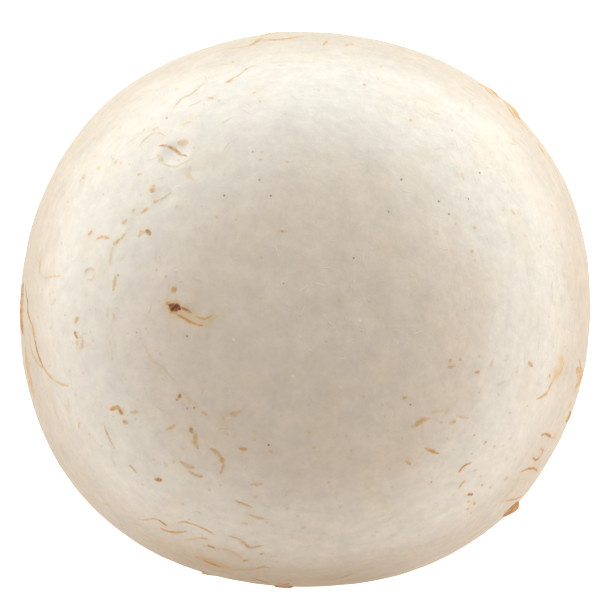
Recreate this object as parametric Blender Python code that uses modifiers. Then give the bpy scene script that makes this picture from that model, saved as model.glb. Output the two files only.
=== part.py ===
"""A button mushroom standing on its cut stem: cap, gills, veil and stem, at real size.

Units are metres, +Z is up along the stem, and the origin is the middle of the cut face of the foot.
The cap hangs over the stem. Under it the gills fill a ring-shaped chamber, and the torn veil half covers them.
"""

import math

import bpy
from mathutils import Vector

MM = 0.001
GAP = 0.3 * MM  # between pieces that touch

# Cap
CAP_RADIUS = 25.0 * MM  # mean radius at the widest level
CAP_TOP = 39.0 * MM  # height of the crown above the cut foot
WIDEST_LEVEL = 20.4 * MM
CROWN_FULLNESS = 2.3  # superellipse exponent: 2 is a half ellipsoid, more is flatter on top
LIP_RADIUS = 1.5 * MM  # roundness of the rolled-in margin
LIP_MIDDLE_RADIUS = 16.6 * MM
LIP_LOW = 9.2 * MM
CAP_STEPS = 60
CROWN_POINTS = 14
FLANK_POINTS = 8
LIP_POINTS = 4

# The cap seen from above is a little oval and a little square
OVAL = 0.0144
OVAL_TURN = math.radians(9)
SQUARE = 0.0115
SQUARE_TURN = math.radians(42)
ROUND_WITHIN = 15.0 * MM  # the underside stays round out to here
FULLY_OFF_ROUND = 21.0 * MM

# Chamber under the cap
CEILING = 19.2 * MM
CHAMBER_SIDE = (  # radius and height, from the rolled-in margin up to the ceiling
    (17.3 * MM, 12.4 * MM),
    (18.5 * MM, 14.8 * MM),
    (16.6 * MM, 17.7 * MM),
    (10.9 * MM, CEILING),
)

# Gills
GILL_COUNT = 50
STEPS_PER_GILL = 4  # half of them on the gill, half in the valley beside it
WEB_TOP = (  # radius and height of the upper face of the web that the gills hang from
    (10.9 * MM, CEILING - 0.4 * MM),
    (16.4 * MM, 17.3 * MM),
    (17.7 * MM, 15.1 * MM),
)
WEB_THICKNESS = 0.8 * MM
GILL_EDGE = ((11.4 * MM, 14.6 * MM), (14.2 * MM, 13.4 * MM), (16.8 * MM, 13.6 * MM))
GILL_EDGE_POINTS = 5

# Stem
STEM_TOP = CEILING - GAP
STEM_STEPS = 44
STEM_POINTS = 10
STEM_OVAL = 0.03
FOOT_EDGE = 0.5 * MM
STEM_SIDE = (  # radius and height, from the cap down to the foot
    (10.3 * MM, 17.6 * MM),
    (9.6 * MM, 15.2 * MM),
    (9.1 * MM, 12.2 * MM),
    (9.0 * MM, 8.6 * MM),
    (9.2 * MM, 4.6 * MM),
    (9.5 * MM, 1.6 * MM),
)

# Veil
VEIL_STEPS = 72
VEIL_THICKNESS = 0.5 * MM
VEIL_ROOT = (9.1 * MM * (1 + STEM_OVAL) + GAP + VEIL_THICKNESS / 2, 9.7 * MM)
VEIL_SAG = (11.9 * MM, 9.2 * MM)
VEIL_EDGE = (14.8 * MM, 10.5 * MM)
VEIL_COLUMNS = 6
TEAR_MIDDLE = math.radians(-60)
TEAR_HALF_WIDTH = math.radians(70)
TEAR_DEPTH = 2.0 * MM
RAGS = ((5, 0.45 * MM, 0.4), (11, 0.30 * MM, 1.7), (17, 0.18 * MM, 2.9))  # waves, size, phase

# Colours, linear
SKIN_COLOUR = (0.86, 0.80, 0.69, 1)
GILL_COLOUR = (0.52, 0.33, 0.25, 1)
VEIL_COLOUR = (0.84, 0.78, 0.68, 1)
STEM_COLOUR = (0.82, 0.76, 0.65, 1)


def clear_scene():
    """Remove every object of the startup scene."""
    for thing in list(bpy.data.objects):
        bpy.data.objects.remove(thing)


def new_collection(name):
    """Make a collection under the scene's own one."""
    made = bpy.data.collections.new(name)
    bpy.context.scene.collection.children.link(made)
    return made


def new_material(name, colour, roughness):
    """Make a plain Principled material."""
    made = bpy.data.materials.new(name)
    made.use_nodes = True
    shader = made.node_tree.nodes["Principled BSDF"]
    shader.inputs["Base Color"].default_value = colour
    shader.inputs["Roughness"].default_value = roughness
    shader.inputs["Metallic"].default_value = 0
    return made


def blend(low, high, value):
    """0 up to low, 1 from high on, and smooth between."""
    share = min(max((value - low) / (high - low), 0), 1)
    return share * share * (3 - 2 * share)


def turned(name, profile, steps, closed, collection, material):
    """Turn a profile of (radius, height) points about Z and return the object, its Screw applied."""
    edges = [(i, i + 1) for i in range(len(profile) - 1)]
    if closed:
        edges.append((len(profile) - 1, 0))
    line = bpy.data.meshes.new(name)
    line.from_pydata([(radius, 0, height) for radius, height in profile], edges, [])
    guide = bpy.data.objects.new(name, line)
    collection.objects.link(guide)
    screw = guide.modifiers.new("Turn", "SCREW")
    screw.steps = steps
    screw.render_steps = steps
    screw.use_merge_vertices = True
    screw.merge_threshold = 0.01 * MM
    graph = bpy.context.evaluated_depsgraph_get()
    mesh = bpy.data.meshes.new_from_object(guide.evaluated_get(graph))
    bpy.data.objects.remove(guide)
    bpy.data.meshes.remove(line)
    mesh.name = name
    mesh.materials.append(material)
    mesh.shade_smooth()
    made = bpy.data.objects.new(name, mesh)
    collection.objects.link(made)
    return made


def curve_through(points, count):
    """Points on one smooth curve (Catmull-Rom) through (radius, height) points."""
    ends = [points[0], *points, points[-1]]
    found = []
    for i in range(count):
        place = i / (count - 1) * (len(points) - 1)
        span = min(int(place), len(points) - 2)
        t = place - span
        a, b, c, d = (Vector(p) for p in ends[span : span + 4])
        found.append(
            tuple(
                0.5
                * (
                    2 * b
                    + (c - a) * t
                    + (2 * a - 5 * b + 4 * c - d) * t**2
                    + (3 * b - a - 3 * c + d) * t**3
                )
            )
        )
    return found


def arc(middle, size, start, end, count):
    """Points on an ellipse about middle, with half axes size, from start to end degrees."""
    found = []
    for i in range(count):
        angle = math.radians(start + (end - start) * i / (count - 1))
        found.append(
            (middle[0] + size[0] * math.cos(angle), middle[1] + size[1] * math.sin(angle))
        )
    return found


def crown_profile():
    """The superellipse from the crown down to the widest level."""
    found = []
    for i in range(CROWN_POINTS):
        angle = math.pi / 2 * i / (CROWN_POINTS - 1)
        radius = CAP_RADIUS * math.sin(angle) ** (2 / CROWN_FULLNESS)
        height = (CAP_TOP - WIDEST_LEVEL) * max(math.cos(angle), 0) ** (2 / CROWN_FULLNESS)
        found.append((radius, WIDEST_LEVEL + height))
    return found


def off_round(angle):
    """How far the outline stands out at this angle, as a share of its mean radius."""
    return OVAL * math.cos(2 * (angle - OVAL_TURN)) + SQUARE * math.cos(4 * (angle - SQUARE_TURN))


def make_cap(collection, material):
    """The cap: crown, flank, rolled-in margin and the chamber under it, as one solid."""
    flank_size = (CAP_RADIUS - LIP_MIDDLE_RADIUS, WIDEST_LEVEL - LIP_LOW)
    flank = arc((LIP_MIDDLE_RADIUS, WIDEST_LEVEL), flank_size, 0, -90, FLANK_POINTS)
    lip_middle = (LIP_MIDDLE_RADIUS, LIP_LOW + LIP_RADIUS)
    lip = arc(lip_middle, (LIP_RADIUS, LIP_RADIUS), -90, -180, LIP_POINTS)
    profile = crown_profile() + flank[1:] + lip[1:] + [*CHAMBER_SIDE, (0, CEILING)]
    cap = turned("cap", profile, CAP_STEPS, False, collection, material)
    for vertex in cap.data.vertices:
        flat = vertex.co.xy
        share = blend(ROUND_WITHIN, FULLY_OFF_ROUND, flat.length)
        vertex.co.xy = flat * (1 + share * off_round(math.atan2(flat.y, flat.x)))


def web_top_at(radius):
    """The height of the web's upper face at this radius."""
    for (inner, high), (outer, low) in zip(WEB_TOP, WEB_TOP[1:]):
        if radius <= outer:
            return high + (low - high) * (radius - inner) / (outer - inner)
    return WEB_TOP[-1][1]


def make_gills(collection, material):
    """The gills as one ring of pleats that hangs from a thin web under the cap's chamber."""
    steps = GILL_COUNT * STEPS_PER_GILL
    # Down the outer side, in along the gill edges, and up to the web at the stem
    edge = curve_through(GILL_EDGE, GILL_EDGE_POINTS)
    gills = turned("gills", [*WEB_TOP, *reversed(edge)], steps, True, collection, material)
    lowest_web = WEB_TOP[-1][1] - WEB_THICKNESS / 2
    for vertex in gills.data.vertices:
        step = round(math.atan2(vertex.co.y, vertex.co.x) / math.tau * steps)
        in_valley = step % STEPS_PER_GILL >= STEPS_PER_GILL / 2
        if in_valley and vertex.co.z < lowest_web:
            valley = web_top_at(vertex.co.xy.length) - WEB_THICKNESS
            vertex.co.z = max(vertex.co.z, valley)


def make_stem(collection, material):
    """The stem, a little oval, with its flat cut foot at the origin."""
    foot_radius = STEM_SIDE[-1][0]
    profile = [
        (0, STEM_TOP),
        (STEM_SIDE[0][0], STEM_TOP),
        *curve_through(STEM_SIDE, STEM_POINTS),
        (foot_radius, FOOT_EDGE),
        (foot_radius - FOOT_EDGE, 0),
        (0, 0),
    ]
    stem = turned("stem", profile, STEM_STEPS, False, collection, material)
    for vertex in stem.data.vertices:
        vertex.co.x *= 1 + STEM_OVAL
        vertex.co.y *= 1 - STEM_OVAL


def tear(angle):
    """How far the torn edge of the veil stands back from the margin at this angle."""
    away = abs((angle - TEAR_MIDDLE + math.pi) % math.tau - math.pi)
    rags = sum(size * (1 + math.sin(waves * angle + phase)) for waves, size, phase in RAGS)
    return rags + TEAR_DEPTH * (1 - blend(0, TEAR_HALF_WIDTH, away))


def make_veil(collection, material):
    """The veil: a thin skirt on the stem whose ragged outer edge has come away from the margin."""
    profile = curve_through((VEIL_EDGE, VEIL_SAG, VEIL_ROOT), VEIL_COLUMNS)
    veil = turned("veil", profile, VEIL_STEPS, False, collection, material)
    width = VEIL_EDGE[0] - VEIL_ROOT[0]
    for vertex in veil.data.vertices:
        flat = vertex.co.xy
        share = (flat.length - VEIL_ROOT[0]) / width
        back = tear(math.atan2(flat.y, flat.x)) * share
        vertex.co.xy = flat * (1 - back / flat.length)
    thick = veil.modifiers.new("Thickness", "SOLIDIFY")
    thick.thickness = VEIL_THICKNESS
    thick.offset = 0
    thick.use_even_offset = True


def main():
    """Build the four pieces."""
    clear_scene()
    collection = new_collection("button_mushroom")
    make_cap(collection, new_material("cap_skin", SKIN_COLOUR, 0.6))
    make_gills(collection, new_material("gill_flesh", GILL_COLOUR, 0.7))
    make_veil(collection, new_material("veil_skin", VEIL_COLOUR, 0.75))
    make_stem(collection, new_material("stem_flesh", STEM_COLOUR, 0.65))


main()
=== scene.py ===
"""The looks of a button mushroom that stands on its cut stem, seen from straight above.

Units are metres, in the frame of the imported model: +Z runs up the stem, and the cut foot is at z = 0.
The cap, gills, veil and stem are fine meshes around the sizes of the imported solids. Dried scales, flaps of
skin and silky fibres lie on the cap. Marks are given where they look to be from above, at the cap's widest
level.
"""

import logging
import math
from collections.abc import Sequence
from dataclasses import dataclass
from enum import Enum, IntEnum
from functools import cached_property
from typing import Any

import bpy
import numpy as np
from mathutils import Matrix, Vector
from mathutils.bvhtree import BVHTree


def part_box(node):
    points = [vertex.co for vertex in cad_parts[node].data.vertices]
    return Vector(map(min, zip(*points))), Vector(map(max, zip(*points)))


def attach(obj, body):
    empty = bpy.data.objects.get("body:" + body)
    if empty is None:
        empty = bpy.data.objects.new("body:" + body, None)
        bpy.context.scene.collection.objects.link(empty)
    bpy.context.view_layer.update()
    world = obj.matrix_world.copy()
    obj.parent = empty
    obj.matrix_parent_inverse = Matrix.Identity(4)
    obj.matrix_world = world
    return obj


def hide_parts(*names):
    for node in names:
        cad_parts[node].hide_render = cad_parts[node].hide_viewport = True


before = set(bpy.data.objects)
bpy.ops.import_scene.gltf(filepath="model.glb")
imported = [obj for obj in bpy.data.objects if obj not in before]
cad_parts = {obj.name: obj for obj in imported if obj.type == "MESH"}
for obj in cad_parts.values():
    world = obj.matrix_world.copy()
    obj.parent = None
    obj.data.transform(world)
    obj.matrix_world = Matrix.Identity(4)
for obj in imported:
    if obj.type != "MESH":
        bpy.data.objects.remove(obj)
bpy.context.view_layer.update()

MM = 0.001
FULL_TURN = math.tau
BODY = "root"
LOG = logging.getLogger("button_mushroom")

Colour = tuple[float, float, float]
Place = tuple[float, float]
Socket = bpy.types.NodeSocket


class Seed(IntEnum):
    """Which pattern each random or uneven thing draws."""

    CAP_SWELL = 3
    GILLS = 5
    FIBRES = 7
    CAP_RIPPLE = 11
    MARKS = 21
    STEM_FIBRIL = 31
    STEM_SWELL = 33
    STEM_GROOVE = 35
    FOOT_FINE = 37
    FOOT_BROAD = 39
    FOOT_CREEP = 41
    STEM_BRUISE = 43
    SKIN_TINT = 51
    VEIL_FRAY = 61
    VEIL_FOLD = 63
    VEIL_PATCH = 65
    VEIL_DROOP = 67


class Tint(Enum):
    """What a mark on the skin is coloured like, as a linear base colour."""

    MAHOGANY = (0.16, 0.048, 0.020)
    BROWN = (0.52, 0.250, 0.095)
    ORANGE = (0.68, 0.370, 0.150)
    TAN = (0.70, 0.470, 0.250)
    HONEY = (0.76, 0.580, 0.360)
    OLIVE = (0.66, 0.550, 0.350)
    DARK = (0.16, 0.120, 0.085)
    WHITE = (0.93, 0.910, 0.860)


# ---------------------------------------------------------------------------------------------
# Small tools
# ---------------------------------------------------------------------------------------------


def smooth_step(low: float, high: float, value: np.ndarray | float) -> np.ndarray:
    """Rise smoothly from 0 at low to 1 at high.

    Args:
        low: where the rise starts.
        high: where it ends.
        value: one number or an array of them.

    Returns:
        The share, as an array of the same shape.
    """
    share = np.clip((np.asarray(value, float) - low) / (high - low), 0.0, 1.0)
    return share * share * (3.0 - 2.0 * share)


def cell_noise(points: np.ndarray, seed: int) -> np.ndarray:
    """Smooth value noise in three dimensions, from -1 to 1.

    Args:
        points: an (n, 3) array, in cells.
        seed: picks the pattern.

    Returns:
        One value for each point.
    """
    cell = np.floor(points).astype(np.int64)
    inside = points - cell
    inside = inside * inside * (3.0 - 2.0 * inside)
    total = np.zeros(len(points))
    for corner in range(8):
        step = np.array([corner & 1, corner >> 1 & 1, corner >> 2 & 1])
        key = ((cell + step) * np.array([73856093, 19349663, 83492791])).sum(axis=1) + seed * 374761393
        key = (key ^ (key >> 13)) * 1274126177 & 0x7FFFFFFF
        value = (key ^ (key >> 16)) % 65536 / 32767.5 - 1.0
        total += value * np.prod(np.where(step, inside, 1.0 - inside), axis=1)
    return total


def layered_noise(points: np.ndarray, size: float, layers: int, seed: int) -> np.ndarray:
    """Add up cell noise at halving sizes.

    Args:
        points: an (n, 3) array, in metres.
        size: the width of the largest cells, in metres.
        layers: how many sizes to add.
        seed: picks the pattern.

    Returns:
        One value for each point, mostly from -1 to 1.
    """
    total = np.zeros(len(points))
    for layer in range(layers):
        total += cell_noise(points * (2.0**layer / size) + 17.3 * layer, seed + layer) / 2.0**layer
    return total


def smooth_path(points: Sequence[Sequence[float]], count: int) -> np.ndarray:
    """Points on one smooth curve (Catmull-Rom) through the given ones.

    Args:
        points: two or more points of any number of dimensions.
        count: how many points to return.

    Returns:
        An array with one row for each point.
    """
    given = np.array(points, float)
    ends = np.vstack([given[:1], given, given[-1:]])
    places = np.linspace(0.0, len(given) - 1.0, count)
    spans = np.minimum(places.astype(int), len(given) - 2)
    t = (places - spans)[:, None]
    a, b, c, d = (ends[spans + shift] for shift in range(4))
    return 0.5 * (2 * b + (c - a) * t + (2 * a - 5 * b + 4 * c - d) * t**2 + (3 * b - a - 3 * c + d) * t**3)


def distances_along(line: np.ndarray) -> np.ndarray:
    """How far along a line each of its points is, from 0."""
    return np.concatenate([[0.0], np.cumsum(np.linalg.norm(np.diff(line, axis=0), axis=1))])


def unit(vectors: np.ndarray) -> np.ndarray:
    """The vectors at length 1."""
    return vectors / np.linalg.norm(vectors, axis=-1, keepdims=True).clip(1e-12)


def ring_faces(
    rows: int, columns: int, first_pole: bool, last_pole: bool
) -> tuple[np.ndarray, list[list[int]]]:
    """Number the faces of a closed skin over rings that run from its top down its outer side.

    Args:
        rows: how many rings.
        columns: how many points each ring has.
        first_pole: True if the first row is one point.
        last_pole: True if the last row is one point. With neither, the last row joins the first.

    Returns:
        The flat numbers of the ring points to keep, and the faces over the kept points.
    """
    numbers = np.arange(rows * columns).reshape(rows, columns)
    if first_pole:
        numbers[0, :] = numbers[0, 0]
    if last_pole:
        numbers[-1, :] = numbers[-1, 0]
    if not first_pole and not last_pole:
        numbers = np.vstack([numbers, numbers[:1]])
    kept, packed = np.unique(numbers, return_inverse=True)
    packed = packed.reshape(numbers.shape)
    after = np.roll(packed, -1, axis=1)
    quads = np.stack([packed[:-1], packed[1:], after[1:], after[:-1]], axis=-1).reshape(-1, 4)
    return kept, [list(dict.fromkeys(quad)) for quad in quads.tolist()]


def new_piece(name: str, points: np.ndarray, faces: list[list[int]]) -> bpy.types.Object:
    """Make a smooth-shaded mesh object.

    Args:
        name: the object's name.
        points: an (n, 3) array.
        faces: lists of point numbers.

    Returns:
        The object, in the scene.
    """
    mesh = bpy.data.meshes.new(name)
    mesh.from_pydata(points.tolist(), [], faces)
    mesh.shade_smooth()
    made = bpy.data.objects.new(name, mesh)
    bpy.context.scene.collection.objects.link(made)
    return made


def ring_piece(name: str, rings: np.ndarray, first_pole: bool, last_pole: bool) -> bpy.types.Object:
    """Make a closed object from a (rows, columns, 3) array of rings, as ring_faces says."""
    kept, faces = ring_faces(rings.shape[0], rings.shape[1], first_pole, last_pole)
    return new_piece(name, rings.reshape(-1, 3)[kept], faces)


def mesh_points(mesh: bpy.types.Mesh) -> np.ndarray:
    """The mesh's points as an (n, 3) array."""
    found = np.empty(len(mesh.vertices) * 3, np.float32)
    mesh.vertices.foreach_get("co", found)
    return found.reshape(-1, 3).astype(float)


def mesh_normals(mesh: bpy.types.Mesh) -> np.ndarray:
    """The outward direction at each point of the mesh, as an (n, 3) array."""
    found = np.empty(len(mesh.vertices) * 3, np.float32)
    mesh.vertex_normals.foreach_get("vector", found)
    return found.reshape(-1, 3).astype(float)


def set_points(mesh: bpy.types.Mesh, points: np.ndarray) -> None:
    """Move the mesh's points."""
    mesh.vertices.foreach_set("co", points.astype(np.float32).ravel())
    mesh.update()


def set_attribute(mesh: bpy.types.Mesh, name: str, kind: str, values: np.ndarray) -> None:
    """Store one value for each point under a name.

    Args:
        mesh: the mesh that holds them.
        name: the attribute's name.
        kind: FLOAT, FLOAT_VECTOR or FLOAT_COLOR.
        values: an array with a row for each point.
    """
    key = {"FLOAT": "value", "FLOAT_VECTOR": "vector", "FLOAT_COLOR": "color"}[kind]
    layer = mesh.attributes.new(name, kind, "POINT")
    layer.data.foreach_set(key, values.astype(np.float32).ravel())


def finish_piece(
    piece: bpy.types.Object, material: bpy.types.Material, nodes: Sequence[str] = ()
) -> None:
    """Dress a piece, let it ride on the mushroom's one body, and report it.

    Args:
        piece: the finished mesh.
        material: its only material.
        nodes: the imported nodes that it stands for.
    """
    piece.data.materials.clear()
    piece.data.materials.append(material)
    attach(piece, BODY)
    if nodes:
        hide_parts(*nodes)
    LOG.info("%s: %d faces", piece.name, len(piece.data.polygons))


# ---------------------------------------------------------------------------------------------
# Node graphs
# ---------------------------------------------------------------------------------------------


@dataclass
class Graph:
    """Adds nodes to a shader, group or geometry tree and wires them."""

    tree: bpy.types.NodeTree

    def node(self, kind: str, inputs: dict[Any, Any] | None = None, **settings: Any) -> bpy.types.Node:
        """Add a node.

        Args:
            kind: its type's name.
            inputs: sockets to wire or values to set, by the input's name or number.
            **settings: its own properties, set before its inputs.

        Returns:
            The node.
        """
        made = self.tree.nodes.new(kind)
        for name, value in settings.items():
            setattr(made, name, value)
        for key, value in (inputs or {}).items():
            if isinstance(value, Socket):
                self.tree.links.new(value, made.inputs[key])
            else:
                made.inputs[key].default_value = value
        return made

    def group(self, tree: bpy.types.NodeTree, inputs: dict[str, Any]) -> bpy.types.Node:
        """Place a shader node group and give it its values."""
        return self.node("ShaderNodeGroup", inputs, node_tree=tree)

    def math(self, operation: str, first: Any, second: Any = 0.0, third: Any = 0.0) -> Socket:
        """Add a Math node and return what it puts out."""
        return self.node("ShaderNodeMath", {0: first, 1: second, 2: third}, operation=operation).outputs[0]

    def vector(self, operation: str, first: Any, second: Any = (0.0, 0.0, 0.0)) -> Socket:
        """Add a Vector Math node and return the vector that it puts out."""
        return self.node("ShaderNodeVectorMath", {0: first, 1: second}, operation=operation).outputs[0]

    def ramp(self, value: Any, low: float, high: float, start: float = 0.0, end: float = 1.0) -> Socket:
        """Add a smooth Map Range from low..high to start..end."""
        inputs = {"Value": value, "From Min": low, "From Max": high, "To Min": start, "To Max": end}
        return self.node("ShaderNodeMapRange", inputs, interpolation_type="SMOOTHSTEP").outputs[0]

    def mix(self, share: Any, first: Any, second: Any, blend: str = "MIX") -> Socket:
        """Mix two colours by a share and return the colour."""
        inputs = {0: share, 6: first, 7: second}
        return self.node("ShaderNodeMix", inputs, data_type="RGBA", blend_type=blend).outputs[2]

    def noise(self, place: Any, scale: Any, detail: float = 2.0, roughness: float = 0.5) -> Socket:
        """Add a Noise Texture and return its value, about 0.5."""
        inputs = {"Vector": place, "Scale": scale, "Detail": detail, "Roughness": roughness}
        return self.node("ShaderNodeTexNoise", inputs).outputs[0]

    def attribute(self, name: str, output: str) -> Socket:
        """Read one of the mesh's own attributes, as its Vector, Color, Fac or Alpha."""
        made = self.node("ShaderNodeAttribute", attribute_name=name, attribute_type="GEOMETRY")
        return made.outputs[output]

    def place(self) -> Socket:
        """Object coordinates."""
        return self.node("ShaderNodeTexCoord").outputs["Object"]

    def end_dressed(self, geometry: Socket, material: Socket, put: bpy.types.Node) -> bpy.types.NodeTree:
        """Set the material of a geometry tree's result, put it out and return the tree."""
        dressed = self.node("GeometryNodeSetMaterial", {"Geometry": geometry, "Material": material})
        self.tree.links.new(dressed.outputs[0], put.inputs[0])
        return self.tree


def rgba(colour: Colour) -> tuple[float, float, float, float]:
    """The colour with full alpha."""
    return (*colour, 1.0)


def node_group(
    name: str, kind: str, inputs: Sequence[tuple[str, str, Any]], outputs: Sequence[tuple[str, str]]
) -> tuple[Graph, bpy.types.Node, bpy.types.Node]:
    """Start a node group with named sockets.

    Args:
        name: the group's name.
        kind: ShaderNodeTree or GeometryNodeTree.
        inputs: name, kind and first value of each input.
        outputs: name and kind of each output.

    Returns:
        The graph inside it, its input node and its output node.
    """
    tree = bpy.data.node_groups.new(name, kind)
    for label, socket_kind, value in inputs:
        socket = tree.interface.new_socket(label, in_out="INPUT", socket_type=f"NodeSocket{socket_kind}")
        if value is not None:
            socket.default_value = value
    for label, socket_kind in outputs:
        tree.interface.new_socket(label, in_out="OUTPUT", socket_type=f"NodeSocket{socket_kind}")
    graph = Graph(tree)
    return graph, graph.node("NodeGroupInput"), graph.node("NodeGroupOutput")


def run_nodes(piece: bpy.types.Object, tree: bpy.types.NodeTree, values: dict[str, Any]) -> None:
    """Run a Geometry Nodes tree on an object and keep the result as its plain mesh.

    Args:
        piece: the object, whose mesh is what the tree starts from.
        tree: the tree.
        values: what its named inputs are set to.
    """
    modifier = piece.modifiers.new(tree.name, "NODES")
    modifier.node_group = tree
    for item in tree.interface.items_tree:
        if item.in_out == "INPUT" and item.name in values:
            modifier[item.identifier] = values[item.name]
    evaluated = piece.evaluated_get(bpy.context.evaluated_depsgraph_get())
    made = bpy.data.meshes.new_from_object(evaluated)
    piece.modifiers.remove(modifier)
    before, piece.data = piece.data, made
    bpy.data.meshes.remove(before)
    made.name = piece.name
    made.shade_smooth()


def repeat_round_tree() -> bpy.types.NodeTree:
    """Build the tree that sets copies of a shape round the Z axis.

    Returns:
        The tree, with the inputs Count, Turn Wobble, Lean, Wave Height, Wave Scale, Seed and Material.
    """
    graph, given, put = node_group(
        "repeat_round",
        "GeometryNodeTree",
        [
            ("Geometry", "Geometry", None),
            ("Count", "Int", 40),
            ("Turn Wobble", "Float", 0.0),
            ("Lean", "Float", 0.0),
            ("Wave Height", "Float", 0.0),
            ("Wave Scale", "Float", 300.0),
            ("Seed", "Int", 0),
            ("Material", "Material", None),
        ],
        [("Geometry", "Geometry")],
    )
    value = given.outputs
    points = graph.node("GeometryNodeMeshLine", {"Count": value["Count"], "Offset": (0.0, 0.0, 0.0)})
    index = graph.node("GeometryNodeInputIndex").outputs[0]
    step = graph.math("DIVIDE", FULL_TURN, value["Count"])
    turn = graph.math("MULTIPLY", index, step)
    wobble = graph.node("FunctionNodeRandomValue", {2: -1.0, 3: 1.0, "Seed": value["Seed"]}).outputs[1]
    next_seed = graph.math("ADD", value["Seed"], 1.0)
    lean = graph.node("FunctionNodeRandomValue", {2: -1.0, 3: 1.0, "Seed": next_seed}).outputs[1]
    turn = graph.math("MULTIPLY_ADD", wobble, value["Turn Wobble"], turn)
    leaning = graph.math("MULTIPLY", lean, value["Lean"])
    rotation = graph.node("ShaderNodeCombineXYZ", {0: leaning, 2: turn}).outputs[0]
    inputs = {"Points": points.outputs[0], "Instance": value["Geometry"], "Rotation": rotation}
    copies = graph.node("GeometryNodeInstanceOnPoints", inputs)
    plain = graph.node("GeometryNodeRealizeInstances", {0: copies.outputs[0]})
    wave = graph.node("ShaderNodeTexNoise", {"Scale": value["Wave Scale"], "Detail": 1.0}).outputs["Color"]
    shift = graph.vector("SUBTRACT", wave, (0.5, 0.5, 0.5))
    flat = graph.vector("MULTIPLY", shift, (1.0, 1.0, 0.0))
    sized = graph.node("ShaderNodeVectorMath", {0: flat, "Scale": value["Wave Height"]}, operation="SCALE")
    moved = graph.node("GeometryNodeSetPosition", {"Geometry": plain.outputs[0], "Offset": sized.outputs[0]})
    return graph.end_dressed(moved.outputs[0], value["Material"], put)


def scatter_tree() -> bpy.types.NodeTree:
    """Build the tree that scatters copies of a fibre over a surface, lying on it and turned at random.

    Returns:
        The tree, with the inputs Fibre, Density, Smallest, Largest, Seed and Material.
    """
    graph, given, put = node_group(
        "scatter_fibres",
        "GeometryNodeTree",
        [
            ("Geometry", "Geometry", None),
            ("Fibre", "Object", None),
            ("Density", "Float", 1e5),
            ("Smallest", "Float", 0.5),
            ("Largest", "Float", 1.0),
            ("Seed", "Int", 0),
            ("Material", "Material", None),
        ],
        [("Geometry", "Geometry")],
    )
    value = given.outputs
    inputs = {"Mesh": value["Geometry"], "Density": value["Density"], "Seed": value["Seed"]}
    points = graph.node("GeometryNodeDistributePointsOnFaces", inputs)
    spin = graph.node("FunctionNodeRandomValue", {2: 0.0, 3: FULL_TURN, "Seed": value["Seed"]}).outputs[1]
    turn = graph.node("ShaderNodeCombineXYZ", {2: spin}).outputs[0]
    lying = graph.node(
        "FunctionNodeRotateRotation", {0: points.outputs["Rotation"], 1: turn}, rotation_space="LOCAL"
    ).outputs[0]
    inputs = {2: value["Smallest"], 3: value["Largest"], "Seed": graph.math("ADD", value["Seed"], 1.0)}
    size = graph.node("FunctionNodeRandomValue", inputs).outputs[1]
    fibre = graph.node("GeometryNodeObjectInfo", {"Object": value["Fibre"]}).outputs["Geometry"]
    inputs = {"Points": points.outputs[0], "Instance": fibre, "Rotation": lying, "Scale": size}
    copies = graph.node("GeometryNodeInstanceOnPoints", inputs)
    plain = graph.node("GeometryNodeRealizeInstances", {0: copies.outputs[0]})
    return graph.end_dressed(plain.outputs[0], value["Material"], put)


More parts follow.
